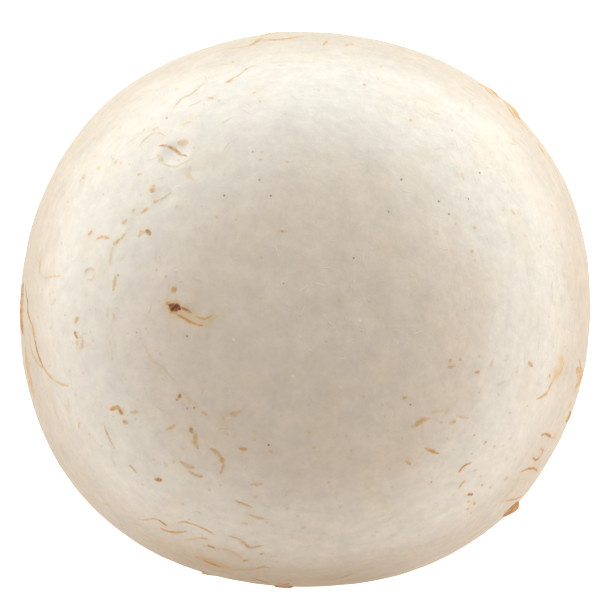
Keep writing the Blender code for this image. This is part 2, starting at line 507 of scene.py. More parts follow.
class Effects:
    """The shader node groups that more than one finish uses."""

    def __init__(self) -> None:
        """Build the groups once."""
        self.grain = self._grain()
        self.mottle = self._mottle()
        self.specks = self._specks()
        self.browning = self._browning()

    @staticmethod
    def _grain() -> bpy.types.NodeTree:
        """Fine felted grain with longer fibres in it, as a value about 0."""
        graph, given, put = node_group(
            "felted_grain",
            "ShaderNodeTree",
            [("Place", "Vector", None), ("Along Fibre", "Vector", None), ("Grain Scale", "Float", 1800.0)],
            [("Grain", "Float"), ("Fibre", "Float")],
        )
        fine = graph.noise(given.outputs["Place"], given.outputs["Grain Scale"], 3.0, 0.62)
        coarse_scale = graph.math("MULTIPLY", given.outputs["Grain Scale"], 0.31)
        coarse = graph.noise(given.outputs["Place"], coarse_scale, 2.0)
        both = graph.math("ADD", graph.math("MULTIPLY", fine, 0.65), graph.math("MULTIPLY", coarse, 0.35))
        fibre = graph.noise(given.outputs["Along Fibre"], 1.0, 3.0, 0.6)
        graph.tree.links.new(graph.math("SUBTRACT", both, 0.5), put.inputs["Grain"])
        graph.tree.links.new(graph.math("SUBTRACT", fibre, 0.5), put.inputs["Fibre"])
        return graph.tree

    @staticmethod
    def _mottle() -> bpy.types.NodeTree:
        """Broad soft patches that are a little warmer, cooler, lighter or darker."""
        graph, given, put = node_group(
            "soft_mottle",
            "ShaderNodeTree",
            [
                ("Place", "Vector", None),
                ("Colour", "Color", None),
                ("Warm", "Color", None),
                ("Cool", "Color", None),
                ("Scale", "Float", 300.0),
                ("Amount", "Float", 0.3),
            ],
            [("Colour", "Color")],
        )
        place = given.outputs["Place"]
        scale = given.outputs["Scale"]
        warm = graph.ramp(graph.noise(place, scale, 3.0), 0.48, 0.72)
        moved = graph.vector("ADD", place, (0.11, 0.05, 0.02))
        cool = graph.ramp(graph.noise(moved, graph.math("MULTIPLY", scale, 1.7), 3.0), 0.50, 0.72)
        amount = given.outputs["Amount"]
        warm = graph.math("MULTIPLY", warm, amount)
        cool = graph.math("MULTIPLY", cool, amount)
        colour = graph.mix(warm, given.outputs["Colour"], given.outputs["Warm"])
        colour = graph.mix(cool, colour, given.outputs["Cool"])
        graph.tree.links.new(colour, put.inputs["Colour"])
        return graph.tree

    @staticmethod
    def _specks() -> bpy.types.NodeTree:
        """Small scattered specks of uneven shape, as a mask."""
        graph, given, put = node_group(
            "scattered_specks",
            "ShaderNodeTree",
            [
                ("Place", "Vector", None),
                ("Scale", "Float", 500.0),
                ("Share", "Float", 0.1),
                ("Size", "Float", 0.2),
            ],
            [("Mask", "Float")],
        )
        inputs = {"Vector": given.outputs["Place"], "Scale": 4000.0}
        shake = graph.node("ShaderNodeTexNoise", inputs).outputs["Color"]
        shaken = graph.vector("MULTIPLY", graph.vector("SUBTRACT", shake, (0.5, 0.5, 0.5)), (0.0003,) * 3)
        place = graph.vector("ADD", given.outputs["Place"], shaken)
        cells = graph.node("ShaderNodeTexVoronoi", {"Vector": place, "Scale": given.outputs["Scale"]})
        split = graph.node("ShaderNodeSeparateColor", {0: cells.outputs["Color"]})
        chosen = graph.math("LESS_THAN", split.outputs[0], given.outputs["Share"])
        size_share = graph.ramp(split.outputs[1], 0.0, 1.0, 0.4, 1.0)
        reach = graph.math("MULTIPLY", given.outputs["Size"], size_share)
        near = graph.math("DIVIDE", cells.outputs["Distance"], reach)
        mask = graph.math("MULTIPLY", graph.ramp(near, 0.45, 1.0, 1.0, 0.0), chosen)
        graph.tree.links.new(mask, put.inputs["Mask"])
        return graph.tree

    @staticmethod
    def _browning() -> bpy.types.NodeTree:
        """Dried brown colour that creeps in unevenly from an edge."""
        graph, given, put = node_group(
            "dried_edge",
            "ShaderNodeTree",
            [
                ("Place", "Vector", None),
                ("Edge", "Float", 0.0),
                ("Colour", "Color", None),
                ("Dried", "Color", None),
                ("Amount", "Float", 0.8),
            ],
            [("Colour", "Color")],
        )
        ragged = graph.math("SUBTRACT", graph.noise(given.outputs["Place"], 1400.0, 3.0), 0.5)
        reach = graph.math("MULTIPLY_ADD", ragged, 0.55, given.outputs["Edge"])
        mask = graph.math("MULTIPLY", graph.ramp(reach, 0.35, 0.95), given.outputs["Amount"])
        colour = graph.mix(mask, given.outputs["Colour"], given.outputs["Dried"])
        graph.tree.links.new(colour, put.inputs["Colour"])
        return graph.tree


@dataclass(frozen=True)
class Flesh:
    """The finish that all of the mushroom's flesh shares. Each piece has its own values."""

    name: str
    colour: Colour
    warm: Colour
    cool: Colour
    dried: Colour = Tint.BROWN.value
    roughness: float = 0.62
    mottle_scale: float = 260.0
    mottle: float = 0.35
    grain_scale: float = 1800.0
    grain_colour: float = 0.15
    fibre_stretch: Colour = (900.0, 900.0, 200.0)  # how densely the fibres' pattern repeats along each axis
    fibre_colour: float = 0.10
    grain_height: float = 0.03 * MM
    fibre_height: float = 0.04 * MM
    bleed: float = 1.2 * MM  # how far light travels in the flesh
    subsurface: float = 0.35
    shine: float = 0.10
    bleed_by_colour: Colour = (1.0, 0.62, 0.38)
    rough_grain: float = 0.25  # how much the grain changes the roughness
    edge_attribute: str = ""
    edge_amount: float = 0.8

    def material(self, effects: Effects) -> bpy.types.Material:
        """Build the material.

        Args:
            effects: the shared groups.

        Returns:
            The material.
        """
        made = bpy.data.materials.new(self.name)
        made.use_nodes = True
        graph = Graph(made.node_tree)
        shader = made.node_tree.nodes["Principled BSDF"]
        place = graph.place()
        along = graph.vector("MULTIPLY", place, self.fibre_stretch)
        inputs = {"Place": place, "Along Fibre": along, "Grain Scale": self.grain_scale}
        grain = graph.group(effects.grain, inputs)
        inputs = {"Colour": rgba(self.colour), "Warm": rgba(self.warm), "Cool": rgba(self.cool)}
        inputs |= {"Place": place, "Scale": self.mottle_scale, "Amount": self.mottle}
        colour = graph.group(effects.mottle, inputs).outputs["Colour"]
        tone = graph.math("MULTIPLY_ADD", grain.outputs["Grain"], self.grain_colour * 2.0, 1.0)
        tone = graph.math("MULTIPLY_ADD", grain.outputs["Fibre"], self.fibre_colour * 2.0, tone)
        colour = graph.vector("MULTIPLY", colour, tone)
        colour, height = self.details(graph, effects, place, colour)
        if self.edge_attribute:
            edge = graph.attribute(self.edge_attribute, "Fac")
            inputs = {"Place": place, "Edge": edge, "Colour": colour, "Dried": rgba(self.dried)}
            colour = graph.group(effects.browning, inputs | {"Amount": self.edge_amount}).outputs["Colour"]
        relief = graph.math("MULTIPLY", grain.outputs["Grain"], self.grain_height)
        relief = graph.math("MULTIPLY_ADD", grain.outputs["Fibre"], self.fibre_height, relief)
        if height is not None:
            relief = graph.math("ADD", relief, height)
        bump = graph.node("ShaderNodeBump", {"Height": relief, "Distance": 1.0, "Strength": 1.0})
        rough = graph.math("MULTIPLY_ADD", grain.outputs["Grain"], self.rough_grain, self.roughness)
        graph.tree.links.new(colour, shader.inputs["Base Color"])
        graph.tree.links.new(rough, shader.inputs["Roughness"])
        graph.tree.links.new(bump.outputs["Normal"], shader.inputs["Normal"])
        shader.inputs["Subsurface Weight"].default_value = self.subsurface
        shader.inputs["Subsurface Radius"].default_value = self.bleed_by_colour
        shader.inputs["Subsurface Scale"].default_value = self.bleed
        shader.inputs["Specular IOR Level"].default_value = self.shine
        return made

    def details(
        self, graph: Graph, effects: Effects, place: Socket, colour: Socket
    ) -> tuple[Socket, Socket | None]:
        """Add what only this finish has. The plain one adds nothing.

        Args:
            graph: the material's graph.
            effects: the shared groups.
            place: Object coordinates.
            colour: the colour so far.

        Returns:
            The colour and the height, if there is one.
        """
        return colour, None


@dataclass(frozen=True)
class Skin(Flesh):
    """The cap's skin: flesh with a broad tint that holds painted light and shade, dark specks and pale flecks.
    """

    speck: Colour = Tint.DARK.value
    speck_scale: float = 640.0
    speck_share: float = 0.045  # of the pattern's cells
    speck_size: float = 0.085  # as a share of a cell
    speck_strength: float = 0.55
    fleck: Colour = Tint.WHITE.value
    fleck_scale: float = 520.0
    fleck_share: float = 0.06
    fleck_size: float = 0.10
    fleck_strength: float = 0.5
    fleck_height: float = 0.02 * MM
    fleck_shift: Colour = (0.031, 0.017, 0.009)  # so that flecks don't follow the specks

    def details(
        self, graph: Graph, effects: Effects, place: Socket, colour: Socket
    ) -> tuple[Socket, Socket | None]:
        """Add the broad tint with its painted light and shade, the specks and the flecks.

        Args:
            graph: the material's graph.
            effects: the shared groups.
            place: Object coordinates.
            colour: the colour so far.

        Returns:
            The colour and the flecks' height.
        """
        # The broad tint multiplies in painted shade on the crown, rim and flank and painted light on the
        # shoulders
        colour = graph.mix(1.0, colour, graph.attribute("stain", "Color"), "MULTIPLY")
        inputs = {"Place": place, "Scale": self.speck_scale, "Share": self.speck_share, "Size": self.speck_size}
        specks = graph.group(effects.specks, inputs).outputs["Mask"]
        colour = graph.mix(graph.math("MULTIPLY", specks, self.speck_strength), colour, rgba(self.speck))
        moved = graph.vector("ADD", place, self.fleck_shift)
        inputs = {"Place": moved, "Scale": self.fleck_scale, "Share": self.fleck_share, "Size": self.fleck_size}
        flecks = graph.group(effects.specks, inputs).outputs["Mask"]
        colour = graph.mix(graph.math("MULTIPLY", flecks, self.fleck_strength), colour, rgba(self.fleck))
        return colour, graph.math("MULTIPLY", flecks, self.fleck_height)


@dataclass(frozen=True)
class MarkedSkin(Skin):
    """The skin of the scales and flaps: each point says how near a mark it is and what colour the mark is."""

    fine_scale: float = 4200.0
    fine_raggedness: float = 1.5
    broad_scale: float = 1500.0
    broad_raggedness: float = 1.8
    full_within: float = 0.30  # half widths from a mark's middle
    none_beyond: float = 1.75
    broken_scale: float = 2300.0
    broken_from: float = 0.34
    broken_to: float = 0.62
    faintest: float = 0.5  # where a mark is broken

    def details(
        self, graph: Graph, effects: Effects, place: Socket, colour: Socket
    ) -> tuple[Socket, Socket | None]:
        """Draw the marks over the skin, with ragged and broken edges.

        Args:
            graph: the material's graph.
            effects: the shared groups.
            place: Object coordinates.
            colour: the colour so far.

        Returns:
            The colour and the height.
        """
        colour, height = super().details(graph, effects, place, colour)
        fine = graph.math("SUBTRACT", graph.noise(place, self.fine_scale, 2.0, 0.6), 0.5)
        broad = graph.math("SUBTRACT", graph.noise(place, self.broad_scale, 2.0), 0.5)
        away = graph.math("MULTIPLY_ADD", broad, self.broad_raggedness, graph.attribute("mark_away", "Fac"))
        ragged = graph.math("MULTIPLY_ADD", fine, self.fine_raggedness, away)
        body = graph.ramp(ragged, self.full_within, self.none_beyond, 1.0, 0.0)
        patchy = graph.noise(place, self.broken_scale, 2.0)
        broken = graph.ramp(patchy, self.broken_from, self.broken_to, self.faintest, 1.0)
        mask = graph.math("MULTIPLY", body, graph.attribute("mark_tint", "Alpha"))
        mask = graph.math("MULTIPLY", mask, broken)
        # A geometric mix, because a plain one turns a thin dark stain grey
        tint = graph.attribute("mark_tint", "Color")
        bare = graph.math("SUBTRACT", 1.0, mask)
        skin_part = graph.node("ShaderNodeGamma", {"Color": colour, "Gamma": bare}).outputs["Color"]
        tint_part = graph.node("ShaderNodeGamma", {"Color": tint, "Gamma": mask}).outputs["Color"]
        return graph.vector("MULTIPLY", skin_part, tint_part), height


@dataclass(frozen=True)
class CutFlesh(Flesh):
    """The stem's flesh, which is open and spongy where it was cut."""

    pore_scale: float = 1500.0
    pore_share: float = 0.5
    pore_size: float = 0.42
    pore_colour: float = 0.5
    pore_depth: float = 0.08 * MM

    def details(
        self, graph: Graph, effects: Effects, place: Socket, colour: Socket
    ) -> tuple[Socket, Socket | None]:
        """Add pores where the attribute says that the flesh is cut.

        Args:
            graph: the material's graph.
            effects: the shared groups.
            place: Object coordinates.
            colour: the colour so far.

        Returns:
            The colour and the pores' height.
        """
        cut = graph.attribute("cut", "Fac")
        inputs = {"Place": place, "Scale": self.pore_scale, "Share": self.pore_share, "Size": self.pore_size}
        depth = graph.math("MULTIPLY", graph.group(effects.specks, inputs).outputs["Mask"], cut)
        colour = graph.mix(graph.math("MULTIPLY", depth, self.pore_colour), colour, rgba(self.dried))
        return colour, graph.math("MULTIPLY", depth, -self.pore_depth)


# ---------------------------------------------------------------------------------------------
# Cap
# ---------------------------------------------------------------------------------------------


@dataclass(frozen=True)
class CapForm:
    """The even shape that the cap's pieces share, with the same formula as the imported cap."""

    widest_level: float = 20.4 * MM
    crown_fullness: float = 2.3
    lip_radius: float = 1.5 * MM
    lip_middle_radius: float = 16.6 * MM
    ceiling: float = 19.2 * MM
    chamber_side: tuple[Place, ...] = (
        (17.3 * MM, 12.4 * MM),
        (18.5 * MM, 14.8 * MM),
        (16.6 * MM, 17.7 * MM),
        (10.9 * MM, 19.2 * MM),
    )
    oval: float = 0.0144
    oval_turn: float = math.radians(9)
    square: float = 0.0115
    square_turn: float = math.radians(42)
    round_within: float = 15.0 * MM
    fully_off_round: float = 21.0 * MM
    eye_height: float = 300.0 * MM  # of the eye above the widest level
    curve_points: int = 400  # on each of the three curves of the profile

    @cached_property
    def top(self) -> float:
        """The crown's height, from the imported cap."""
        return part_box("cap")[1].z

    @cached_property
    def low(self) -> float:
        """The margin's height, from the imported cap."""
        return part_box("cap")[0].z

    @cached_property
    def radius(self) -> float:
        """The mean radius at the widest level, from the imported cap's box."""
        low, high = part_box("cap")
        shares = 2.0 + float(self.off_round(0.0)) + float(self.off_round(math.pi / 2))
        return (high.x - low.x + high.y - low.y) / 2 / shares

    def off_round(self, angle: np.ndarray | float) -> np.ndarray:
        """How far the outline stands out at an angle, as a share of the mean radius."""
        oval = self.oval * np.cos(2 * (angle - self.oval_turn))
        return oval + self.square * np.cos(4 * (angle - self.square_turn))

    def swelling(self, angle: np.ndarray, radius: np.ndarray) -> np.ndarray:
        """What a radius is multiplied by at this angle, 1 near the middle."""
        share = smooth_step(self.round_within, self.fully_off_round, radius)
        return 1.0 + share * self.off_round(angle)

    def crown_height(self, radius: np.ndarray) -> np.ndarray:
        """The crown's height above the foot at a mean radius."""
        inside = np.clip(1.0 - (np.asarray(radius) / self.radius) ** self.crown_fullness, 0.0, 1.0)
        return self.widest_level + (self.top - self.widest_level) * inside ** (1.0 / self.crown_fullness)

    def profile(self) -> np.ndarray:
        """The (radius, height) line from the crown to the widest level and on to the margin's inner edge."""
        angle = np.linspace(0.0, math.pi / 2, self.curve_points)
        crown_radius = self.radius * np.sin(angle) ** (2.0 / self.crown_fullness)
        rise = (self.top - self.widest_level) * np.cos(angle).clip(0.0) ** (2.0 / self.crown_fullness)
        crown = np.stack([crown_radius, self.widest_level + rise], axis=1)
        angle = angle[1:]
        flank_radius = self.lip_middle_radius + (self.radius - self.lip_middle_radius) * np.cos(angle)
        flank_height = self.widest_level - (self.widest_level - self.low) * np.sin(angle)
        flank = np.stack([flank_radius, flank_height], axis=1)
        lip_radius = self.lip_middle_radius - self.lip_radius * np.sin(angle)
        lip_height = self.low + self.lip_radius * (1.0 - np.cos(angle))
        return np.vstack([crown, flank, np.stack([lip_radius, lip_height], axis=1)])

    def seen(self, points: Sequence[Place]) -> np.ndarray:
        """Find the crown points that look to be at these places from above.

        Args:
            points: x and y in millimetres at the widest level.

        Returns:
            An (n, 3) array of points on the crown, in metres.
        """
        flat = np.array(points, float) * MM
        look = np.linalg.norm(flat, axis=1)
        angle = np.arctan2(flat[:, 1], flat[:, 0])
        limit = self.radius * 0.9995
        mean = np.minimum(look, limit)
        for _ in range(12):
            nearer = 1.0 - (self.crown_height(mean) - self.widest_level) / self.eye_height
            mean = np.minimum(look * nearer / self.swelling(angle, mean), limit)
        wide = mean * self.swelling(angle, mean)
        return np.stack([wide * np.cos(angle), wide * np.sin(angle), self.crown_height(mean)], axis=1)

    def flank(self, angles: np.ndarray, levels: np.ndarray) -> np.ndarray:
        """Points on the outer side below the widest level.

        Args:
            angles: in radians.
            levels: heights above the foot, in metres.

        Returns:
            An (n, 3) array of points, in metres.
        """
        drop = ((self.widest_level - levels) / (self.widest_level - self.low)).clip(0.0, 1.0)
        radius = self.lip_middle_radius + (self.radius - self.lip_middle_radius) * np.sqrt(1.0 - drop**2)
        wide = radius * self.swelling(angles, radius)
        return np.stack([wide * np.cos(angles), wide * np.sin(angles), levels], axis=1)


@dataclass
class Mark:
    """A raised line or spot on the skin: a dried scale, a crease, a scratch or a flap."""

    points: np.ndarray  # two or more on the cap, in metres
    half_width: float
    tint: Tint
    strength: float
    heights: Colour  # above the skin at its left edge, its middle and its right edge, in metres

    @property
    def is_flap(self) -> bool:
        """True if one of its edges stands free."""
        return max(self.heights[0], self.heights[2]) > 0


class CapMarks:
    """All marks on the cap. The tables hold places as seen from above and half widths, in millimetres."""

    # Tint, strength, half width, then the places along the mark
    LINES: tuple[tuple[Any, ...], ...] = (
        # The big dried scale left of the middle
        (Tint.ORANGE, 0.9, 0.42, (-12.1, 0.6), (-11.6, 0.3), (-11.1, 0.0)),
        (Tint.MAHOGANY, 0.8, 0.28, (-12.0, 0.5), (-11.6, 0.3), (-11.0, 0.1)),
        (Tint.BROWN, 0.8, 0.13, (-11.1, 0.3), (-10.4, 0.0), (-9.9, -0.3)),
        (Tint.ORANGE, 0.75, 0.14, (-11.5, -0.2), (-10.3, -0.9), (-9.3, -1.3), (-8.7, -1.3)),
        (Tint.ORANGE, 0.6, 0.14, (-10.2, -0.2), (-9.3, -0.7), (-8.6, -0.7), (-8.0, -0.3)),
        (Tint.HONEY, 0.8, 0.36, (-11.4, 0.0), (-10.2, -0.5), (-9.1, -1.0), (-8.5, -1.0), (-7.8, -0.5)),
        (Tint.ORANGE, 0.6, 0.24, (-11.7, 1.9), (-11.4, 1.8)),
        # Left
        (Tint.BROWN, 0.7, 0.11, (-24.7, 2.3), (-24.5, 0.8), (-24.4, -0.4), (-24.0, -1.5)),
        (Tint.ORANGE, 1.0, 0.19, (-24.1, -1.2), (-23.9, -2.0), (-23.8, -2.8)),
        (Tint.BROWN, 0.8, 0.12, (-23.8, -2.6), (-23.6, -3.6), (-23.3, -4.4), (-23.0, -5.1)),
        (Tint.TAN, 0.7, 0.13, (-23.1, -4.9), (-22.7, -5.5), (-22.1, -6.2)),
        (Tint.HONEY, 0.7, 0.13, (-22.2, -6.1), (-21.5, -6.5), (-20.8, -6.7)),
        (Tint.TAN, 0.6, 0.12, (-24.3, -2.5), (-24.1, -3.5), (-23.5, -4.7), (-22.9, -5.2)),
        (Tint.TAN, 0.6, 0.14, (-23.3, 4.6), (-23.4, 3.7), (-23.4, 3.2)),
        (Tint.HONEY, 0.6, 0.12, (-23.4, 3.3), (-23.0, 2.9), (-22.3, 3.0), (-21.5, 3.0)),
        (Tint.HONEY, 0.5, 0.11, (-19.4, 3.2), (-19.2, 3.6), (-18.8, 3.7), (-18.5, 3.4)),
        (Tint.HONEY, 0.5, 0.11, (-18.5, 3.1), (-18.8, 2.7), (-19.2, 2.8)),
        (Tint.TAN, 0.6, 0.15, (-16.7, 3.2), (-16.8, 2.1), (-16.9, 1.7)),
        (Tint.ORANGE, 0.7, 0.12, (-18.8, 7.0), (-19.1, 6.6)),
        (Tint.ORANGE, 0.45, 0.15, (-18.4, 6.2), (-17.9, 6.5), (-17.2, 6.3)),
        (Tint.HONEY, 0.6, 0.13, (-15.7, 6.9), (-16.4, 6.1)),
        (Tint.ORANGE, 0.6, 0.15, (-16.3, 6.3), (-16.9, 5.7)),
        (Tint.HONEY, 0.6, 0.13, (-16.9, 5.6), (-17.1, 4.8), (-17.2, 3.8)),
        (Tint.TAN, 0.5, 0.12, (-14.7, 6.4), (-14.4, 6.8), (-14.0, 7.0)),
        (Tint.BROWN, 0.7, 0.16, (-14.1, 7.0), (-13.8, 6.9), (-13.6, 6.6)),
        (Tint.HONEY, 0.3, 0.10, (-9.9, 2.8), (-9.2, 2.7)),
        (Tint.HONEY, 0.5, 0.13, (-21.9, 1.0), (-22.2, 0.6)),
        (Tint.TAN, 0.6, 0.18, (-20.0, -0.6), (-20.2, -1.1)),
        (Tint.BROWN, 0.6, 0.15, (-20.3, -1.9), (-20.0, -2.5)),
        (Tint.TAN, 0.35, 0.15, (-20.0, -2.5), (-20.1, -3.5)),
        (Tint.TAN, 0.5, 0.13, (-19.6, -2.3), (-19.6, -3.4)),
        (Tint.HONEY, 0.3, 0.13, (-17.4, 0.3), (-17.4, -0.7)),
        (Tint.TAN, 0.4, 0.12, (-16.9, -0.2), (-16.8, -0.9)),
        (Tint.HONEY, 0.3, 0.15, (-17.2, -2.6), (-17.0, -4.0)),
        (Tint.HONEY, 0.35, 0.13, (-14.4, -2.7), (-13.5, -4.4), (-12.6, -5.1), (-12.0, -5.8), (-11.2, -6.5)),
        (Tint.TAN, 0.5, 0.10, (-23.5, -8.0), (-23.3, -8.7)),
        (Tint.HONEY, 0.45, 0.10, (-22.5, -7.0), (-21.9, -9.1), (-21.2, -10.4)),
        (Tint.HONEY, 0.35, 0.10, (-20.9, -7.6), (-20.7, -9.2)),
        (Tint.TAN, 0.4, 0.10, (-19.9, -9.8), (-19.9, -10.5)),
        (Tint.TAN, 0.55, 0.10, (-17.7, -10.1), (-17.5, -10.8), (-17.0, -11.8), (-16.7, -12.3)),
        # Upper left
        (Tint.OLIVE, 0.7, 0.09, (-11.7, 17.7), (-10.9, 18.7), (-10.1, 19.1), (-9.4, 19.7), (-8.8, 20.2)),
        (Tint.OLIVE, 0.6, 0.10, (-10.3, 18.0), (-9.6, 18.3), (-9.1, 18.6)),
        (Tint.TAN, 0.6, 0.10, (-8.6, 18.8), (-8.0, 18.7)),
        (Tint.TAN, 0.7, 0.15, (-7.0, 20.1), (-6.6, 20.3), (-6.2, 20.6)),
        (Tint.OLIVE, 0.7, 0.09, (-6.4, 20.4), (-5.8, 20.8), (-5.0, 21.4), (-4.3, 21.6)),
        (Tint.HONEY, 0.5, 0.13, (-10.8, 16.4), (-10.0, 16.7)),
        (Tint.OLIVE, 0.4, 0.10, (-16.4, 15.8), (-16.2, 16.3)),
        (Tint.HONEY, 0.4, 0.14, (-13.5, 15.9), (-12.9, 16.2)),
        (Tint.OLIVE, 0.5, 0.09, (-14.7, 14.4), (-14.3, 14.9), (-13.6, 15.5), (-12.9, 15.7), (-12.2, 15.3)),
        (Tint.BROWN, 0.5, 0.12, (-12.9, 14.5), (-12.2, 14.5), (-11.7, 14.3), (-11.1, 13.9), (-10.4, 13.6)),
        (Tint.TAN, 0.5, 0.24, (-11.2, 14.8), (-10.3, 14.8)),
        (Tint.OLIVE, 0.5, 0.11, (-12.7, 13.0), (-11.7, 12.7), (-10.8, 13.0), (-9.9, 13.4)),
        (Tint.OLIVE, 0.35, 0.20, (-12.9, 13.8), (-12.7, 13.0)),
        (Tint.HONEY, 0.4, 0.22, (-10.0, 12.7), (-10.4, 12.1), (-10.1, 11.7), (-9.7, 11.4)),
        (Tint.WHITE, 0.5, 0.10, (-11.8, 10.4), (-11.3, 10.9), (-10.9, 10.9)),
        (Tint.OLIVE, 0.35, 0.10, (-12.9, 9.7), (-12.3, 10.1), (-11.8, 10.4)),
        (Tint.TAN, 0.6, 0.12, (-13.4, 9.5), (-12.9, 9.7)),
        (Tint.TAN, 0.6, 0.13, (-14.5, 8.5), (-13.8, 9.0)),
        (Tint.TAN, 0.5, 0.14, (-16.1, 7.6), (-15.7, 8.0)),
        (Tint.OLIVE, 0.4, 0.12, (-16.8, 12.9), (-16.4, 13.3)),
        (Tint.HONEY, 0.35, 0.10, (-2.4, 7.1), (-1.4, 7.0)),
        # Top
        (Tint.TAN, 0.6, 0.08, (-7.1, 23.1), (-5.9, 23.2), (-5.0, 23.3)),
        (Tint.ORANGE, 0.9, 0.17, (-5.0, 23.3), (-4.4, 23.6), (-4.0, 23.9), (-3.6, 24.0)),
        (Tint.ORANGE, 0.8, 0.18, (-3.7, 23.8), (-2.5, 23.8), (-1.4, 23.9), (-0.1, 24.1)),
        (Tint.TAN, 0.5, 0.10, (-5.8, 23.7), (-5.1, 23.8)),
        (Tint.ORANGE, 0.6, 0.12, (1.6, 23.3), (2.0, 23.7)),
        (Tint.ORANGE, 0.7, 0.15, (3.5, 23.3), (3.9, 23.4), (4.3, 23.4)),
        # Upper right rim
        (Tint.ORANGE, 0.7, 0.18, (15.3, 19.9), (15.8, 19.7), (16.3, 19.2), (16.7, 18.8)),
        (Tint.ORANGE, 0.9, 0.24, (16.9, 18.8), (17.4, 18.7), (17.6, 18.3)),
        (Tint.ORANGE, 0.7, 0.15, (17.6, 18.3), (18.1, 17.6), (18.6, 16.8)),
        (Tint.ORANGE, 0.7, 0.11, (19.0, 16.6), (19.7, 15.8), (20.1, 15.3)),
        (Tint.ORANGE, 0.8, 0.18, (20.6, 14.5), (21.1, 13.7)),
        (Tint.TAN, 0.6, 0.11, (21.2, 13.9), (21.7, 13.0), (22.4, 11.7)),
        (Tint.HONEY, 0.6, 0.13, (18.3, 15.2), (18.6, 14.8)),
        (Tint.HONEY, 0.4, 0.11, (18.1, 9.0), (18.6, 8.4)),
        (Tint.HONEY, 0.3, 0.13, (13.8, 12.2), (14.0, 11.4)),
        # Left of the bottom
        (
            *(Tint.HONEY, 0.5, 0.16),
            *((-11.3, -7.8), (-11.0, -7.4), (-10.8, -7.3), (-10.4, -7.8), (-9.9, -8.3), (-9.4, -8.6)),
        ),
        (Tint.BROWN, 0.8, 0.13, (-11.2, -7.8), (-11.0, -7.4)),
        (Tint.TAN, 0.4, 0.11, (-9.2, -9.0), (-8.6, -9.3)),
        (Tint.ORANGE, 0.7, 0.18, (-17.2, -8.8), (-16.6, -8.6), (-16.2, -8.9)),
        (Tint.BROWN, 0.7, 0.16, (-16.4, -8.8), (-16.1, -9.2)),
        (Tint.ORANGE, 0.8, 0.17, (-16.1, -9.8), (-15.6, -10.0)),
        (Tint.TAN, 0.4, 0.14, (-15.5, -9.0), (-14.7, -9.0)),
        (Tint.TAN, 0.6, 0.13, (-12.3, -10.6), (-11.9, -10.4), (-11.4, -10.1)),
        (Tint.BROWN, 0.6, 0.15, (-10.1, -10.4), (-10.0, -10.9)),
        (Tint.TAN, 0.8, 0.19, (-10.0, -10.5), (-9.7, -11.1), (-9.7, -11.7), (-9.4, -12.3)),
        (Tint.TAN, 0.7, 0.16, (-8.4, -12.2), (-7.8, -12.6), (-7.4, -13.1)),
        (Tint.ORANGE, 1.0, 0.22, (-7.4, -13.1), (-7.2, -13.4)),
        (Tint.TAN, 0.6, 0.15, (-7.2, -13.5), (-7.3, -14.0), (-7.5, -14.5)),
        (Tint.TAN, 0.7, 0.19, (-6.7, -9.2), (-6.2, -9.1), (-5.6, -8.9)),
        (Tint.ORANGE, 0.6, 0.16, (-5.9, -12.2), (-5.1, -12.3)),
        (Tint.HONEY, 0.4, 0.12, (-4.9, -9.0), (-4.4, -9.0)),
        (Tint.TAN, 0.7, 0.09, (-15.5, -13.6), (-14.8, -14.4)),
        (Tint.BROWN, 0.75, 0.17, (-13.3, -14.9), (-12.6, -15.0)),
        (Tint.HONEY, 0.4, 0.14, (-12.5, -13.4), (-12.1, -13.8)),
        (Tint.TAN, 0.8, 0.17, (-11.1, -13.3), (-10.3, -13.8), (-9.7, -13.9)),
        (Tint.TAN, 0.8, 0.15, (-10.3, -14.2), (-9.5, -14.6), (-9.0, -14.7)),
        (Tint.TAN, 0.45, 0.14, (-4.9, -15.4), (-3.7, -15.3)),
        (Tint.TAN, 0.8, 0.10, (-6.2, -16.8), (-5.7, -17.0), (-4.6, -17.4)),
        (Tint.TAN, 0.55, 0.14, (-5.0, -18.0), (-4.2, -18.3), (-3.6, -18.4)),
        (Tint.HONEY, 0.45, 0.12, (-5.7, -18.7), (-5.0, -18.9)),
        (Tint.TAN, 0.4, 0.10, (-17.8, -17.0), (-17.1, -17.3)),
        # Bottom
        (Tint.TAN, 0.6, 0.10, (-14.8, -18.3), (-14.3, -18.5), (-13.4, -18.4), (-12.8, -18.6)),
        (Tint.BROWN, 0.85, 0.12, (-12.9, -18.5), (-12.5, -18.8), (-12.1, -19.1)),
        (Tint.ORANGE, 0.75, 0.14, (-12.8, -19.2), (-12.1, -19.5), (-11.4, -19.6), (-10.4, -19.5)),
        (Tint.TAN, 0.75, 0.11, (-11.3, -18.8), (-10.6, -18.7), (-9.6, -19.0), (-8.7, -19.4), (-7.8, -19.9)),
        (Tint.HONEY, 0.6, 0.14, (-10.7, -20.3), (-9.5, -20.1), (-8.6, -20.1)),
        (Tint.TAN, 0.6, 0.10, (-9.3, -20.1), (-8.5, -20.2)),
        (Tint.BROWN, 0.8, 0.15, (-8.6, -20.7), (-7.9, -21.0)),
        (Tint.HONEY, 0.5, 0.24, (-7.8, -21.0), (-6.7, -21.2), (-5.5, -21.8)),
        (Tint.TAN, 0.65, 0.16, (-6.8, -19.9), (-5.8, -20.2), (-5.2, -20.7), (-4.7, -20.9), (-3.6, -20.7)),
        (Tint.BROWN, 0.5, 0.09, (-4.1, -21.5), (-3.5, -21.4)),
        (Tint.ORANGE, 0.6, 0.14, (-5.5, -22.1), (-5.0, -22.0)),
        (Tint.TAN, 0.8, 0.48, (-9.5, -21.8), (-8.4, -22.2), (-7.4, -22.5), (-6.7, -22.7)),
        (Tint.BROWN, 0.75, 0.28, (-9.2, -21.9), (-8.2, -22.4), (-7.2, -22.6)),
        (Tint.ORANGE, 0.6, 0.16, (-4.4, -22.8), (-3.7, -22.6), (-3.1, -22.7)),
        (Tint.TAN, 0.6, 0.15, (-6.8, -22.8), (-5.6, -22.9), (-4.5, -22.8)),
        (Tint.TAN, 0.5, 0.12, (-14.2, -19.8), (-13.8, -20.0)),
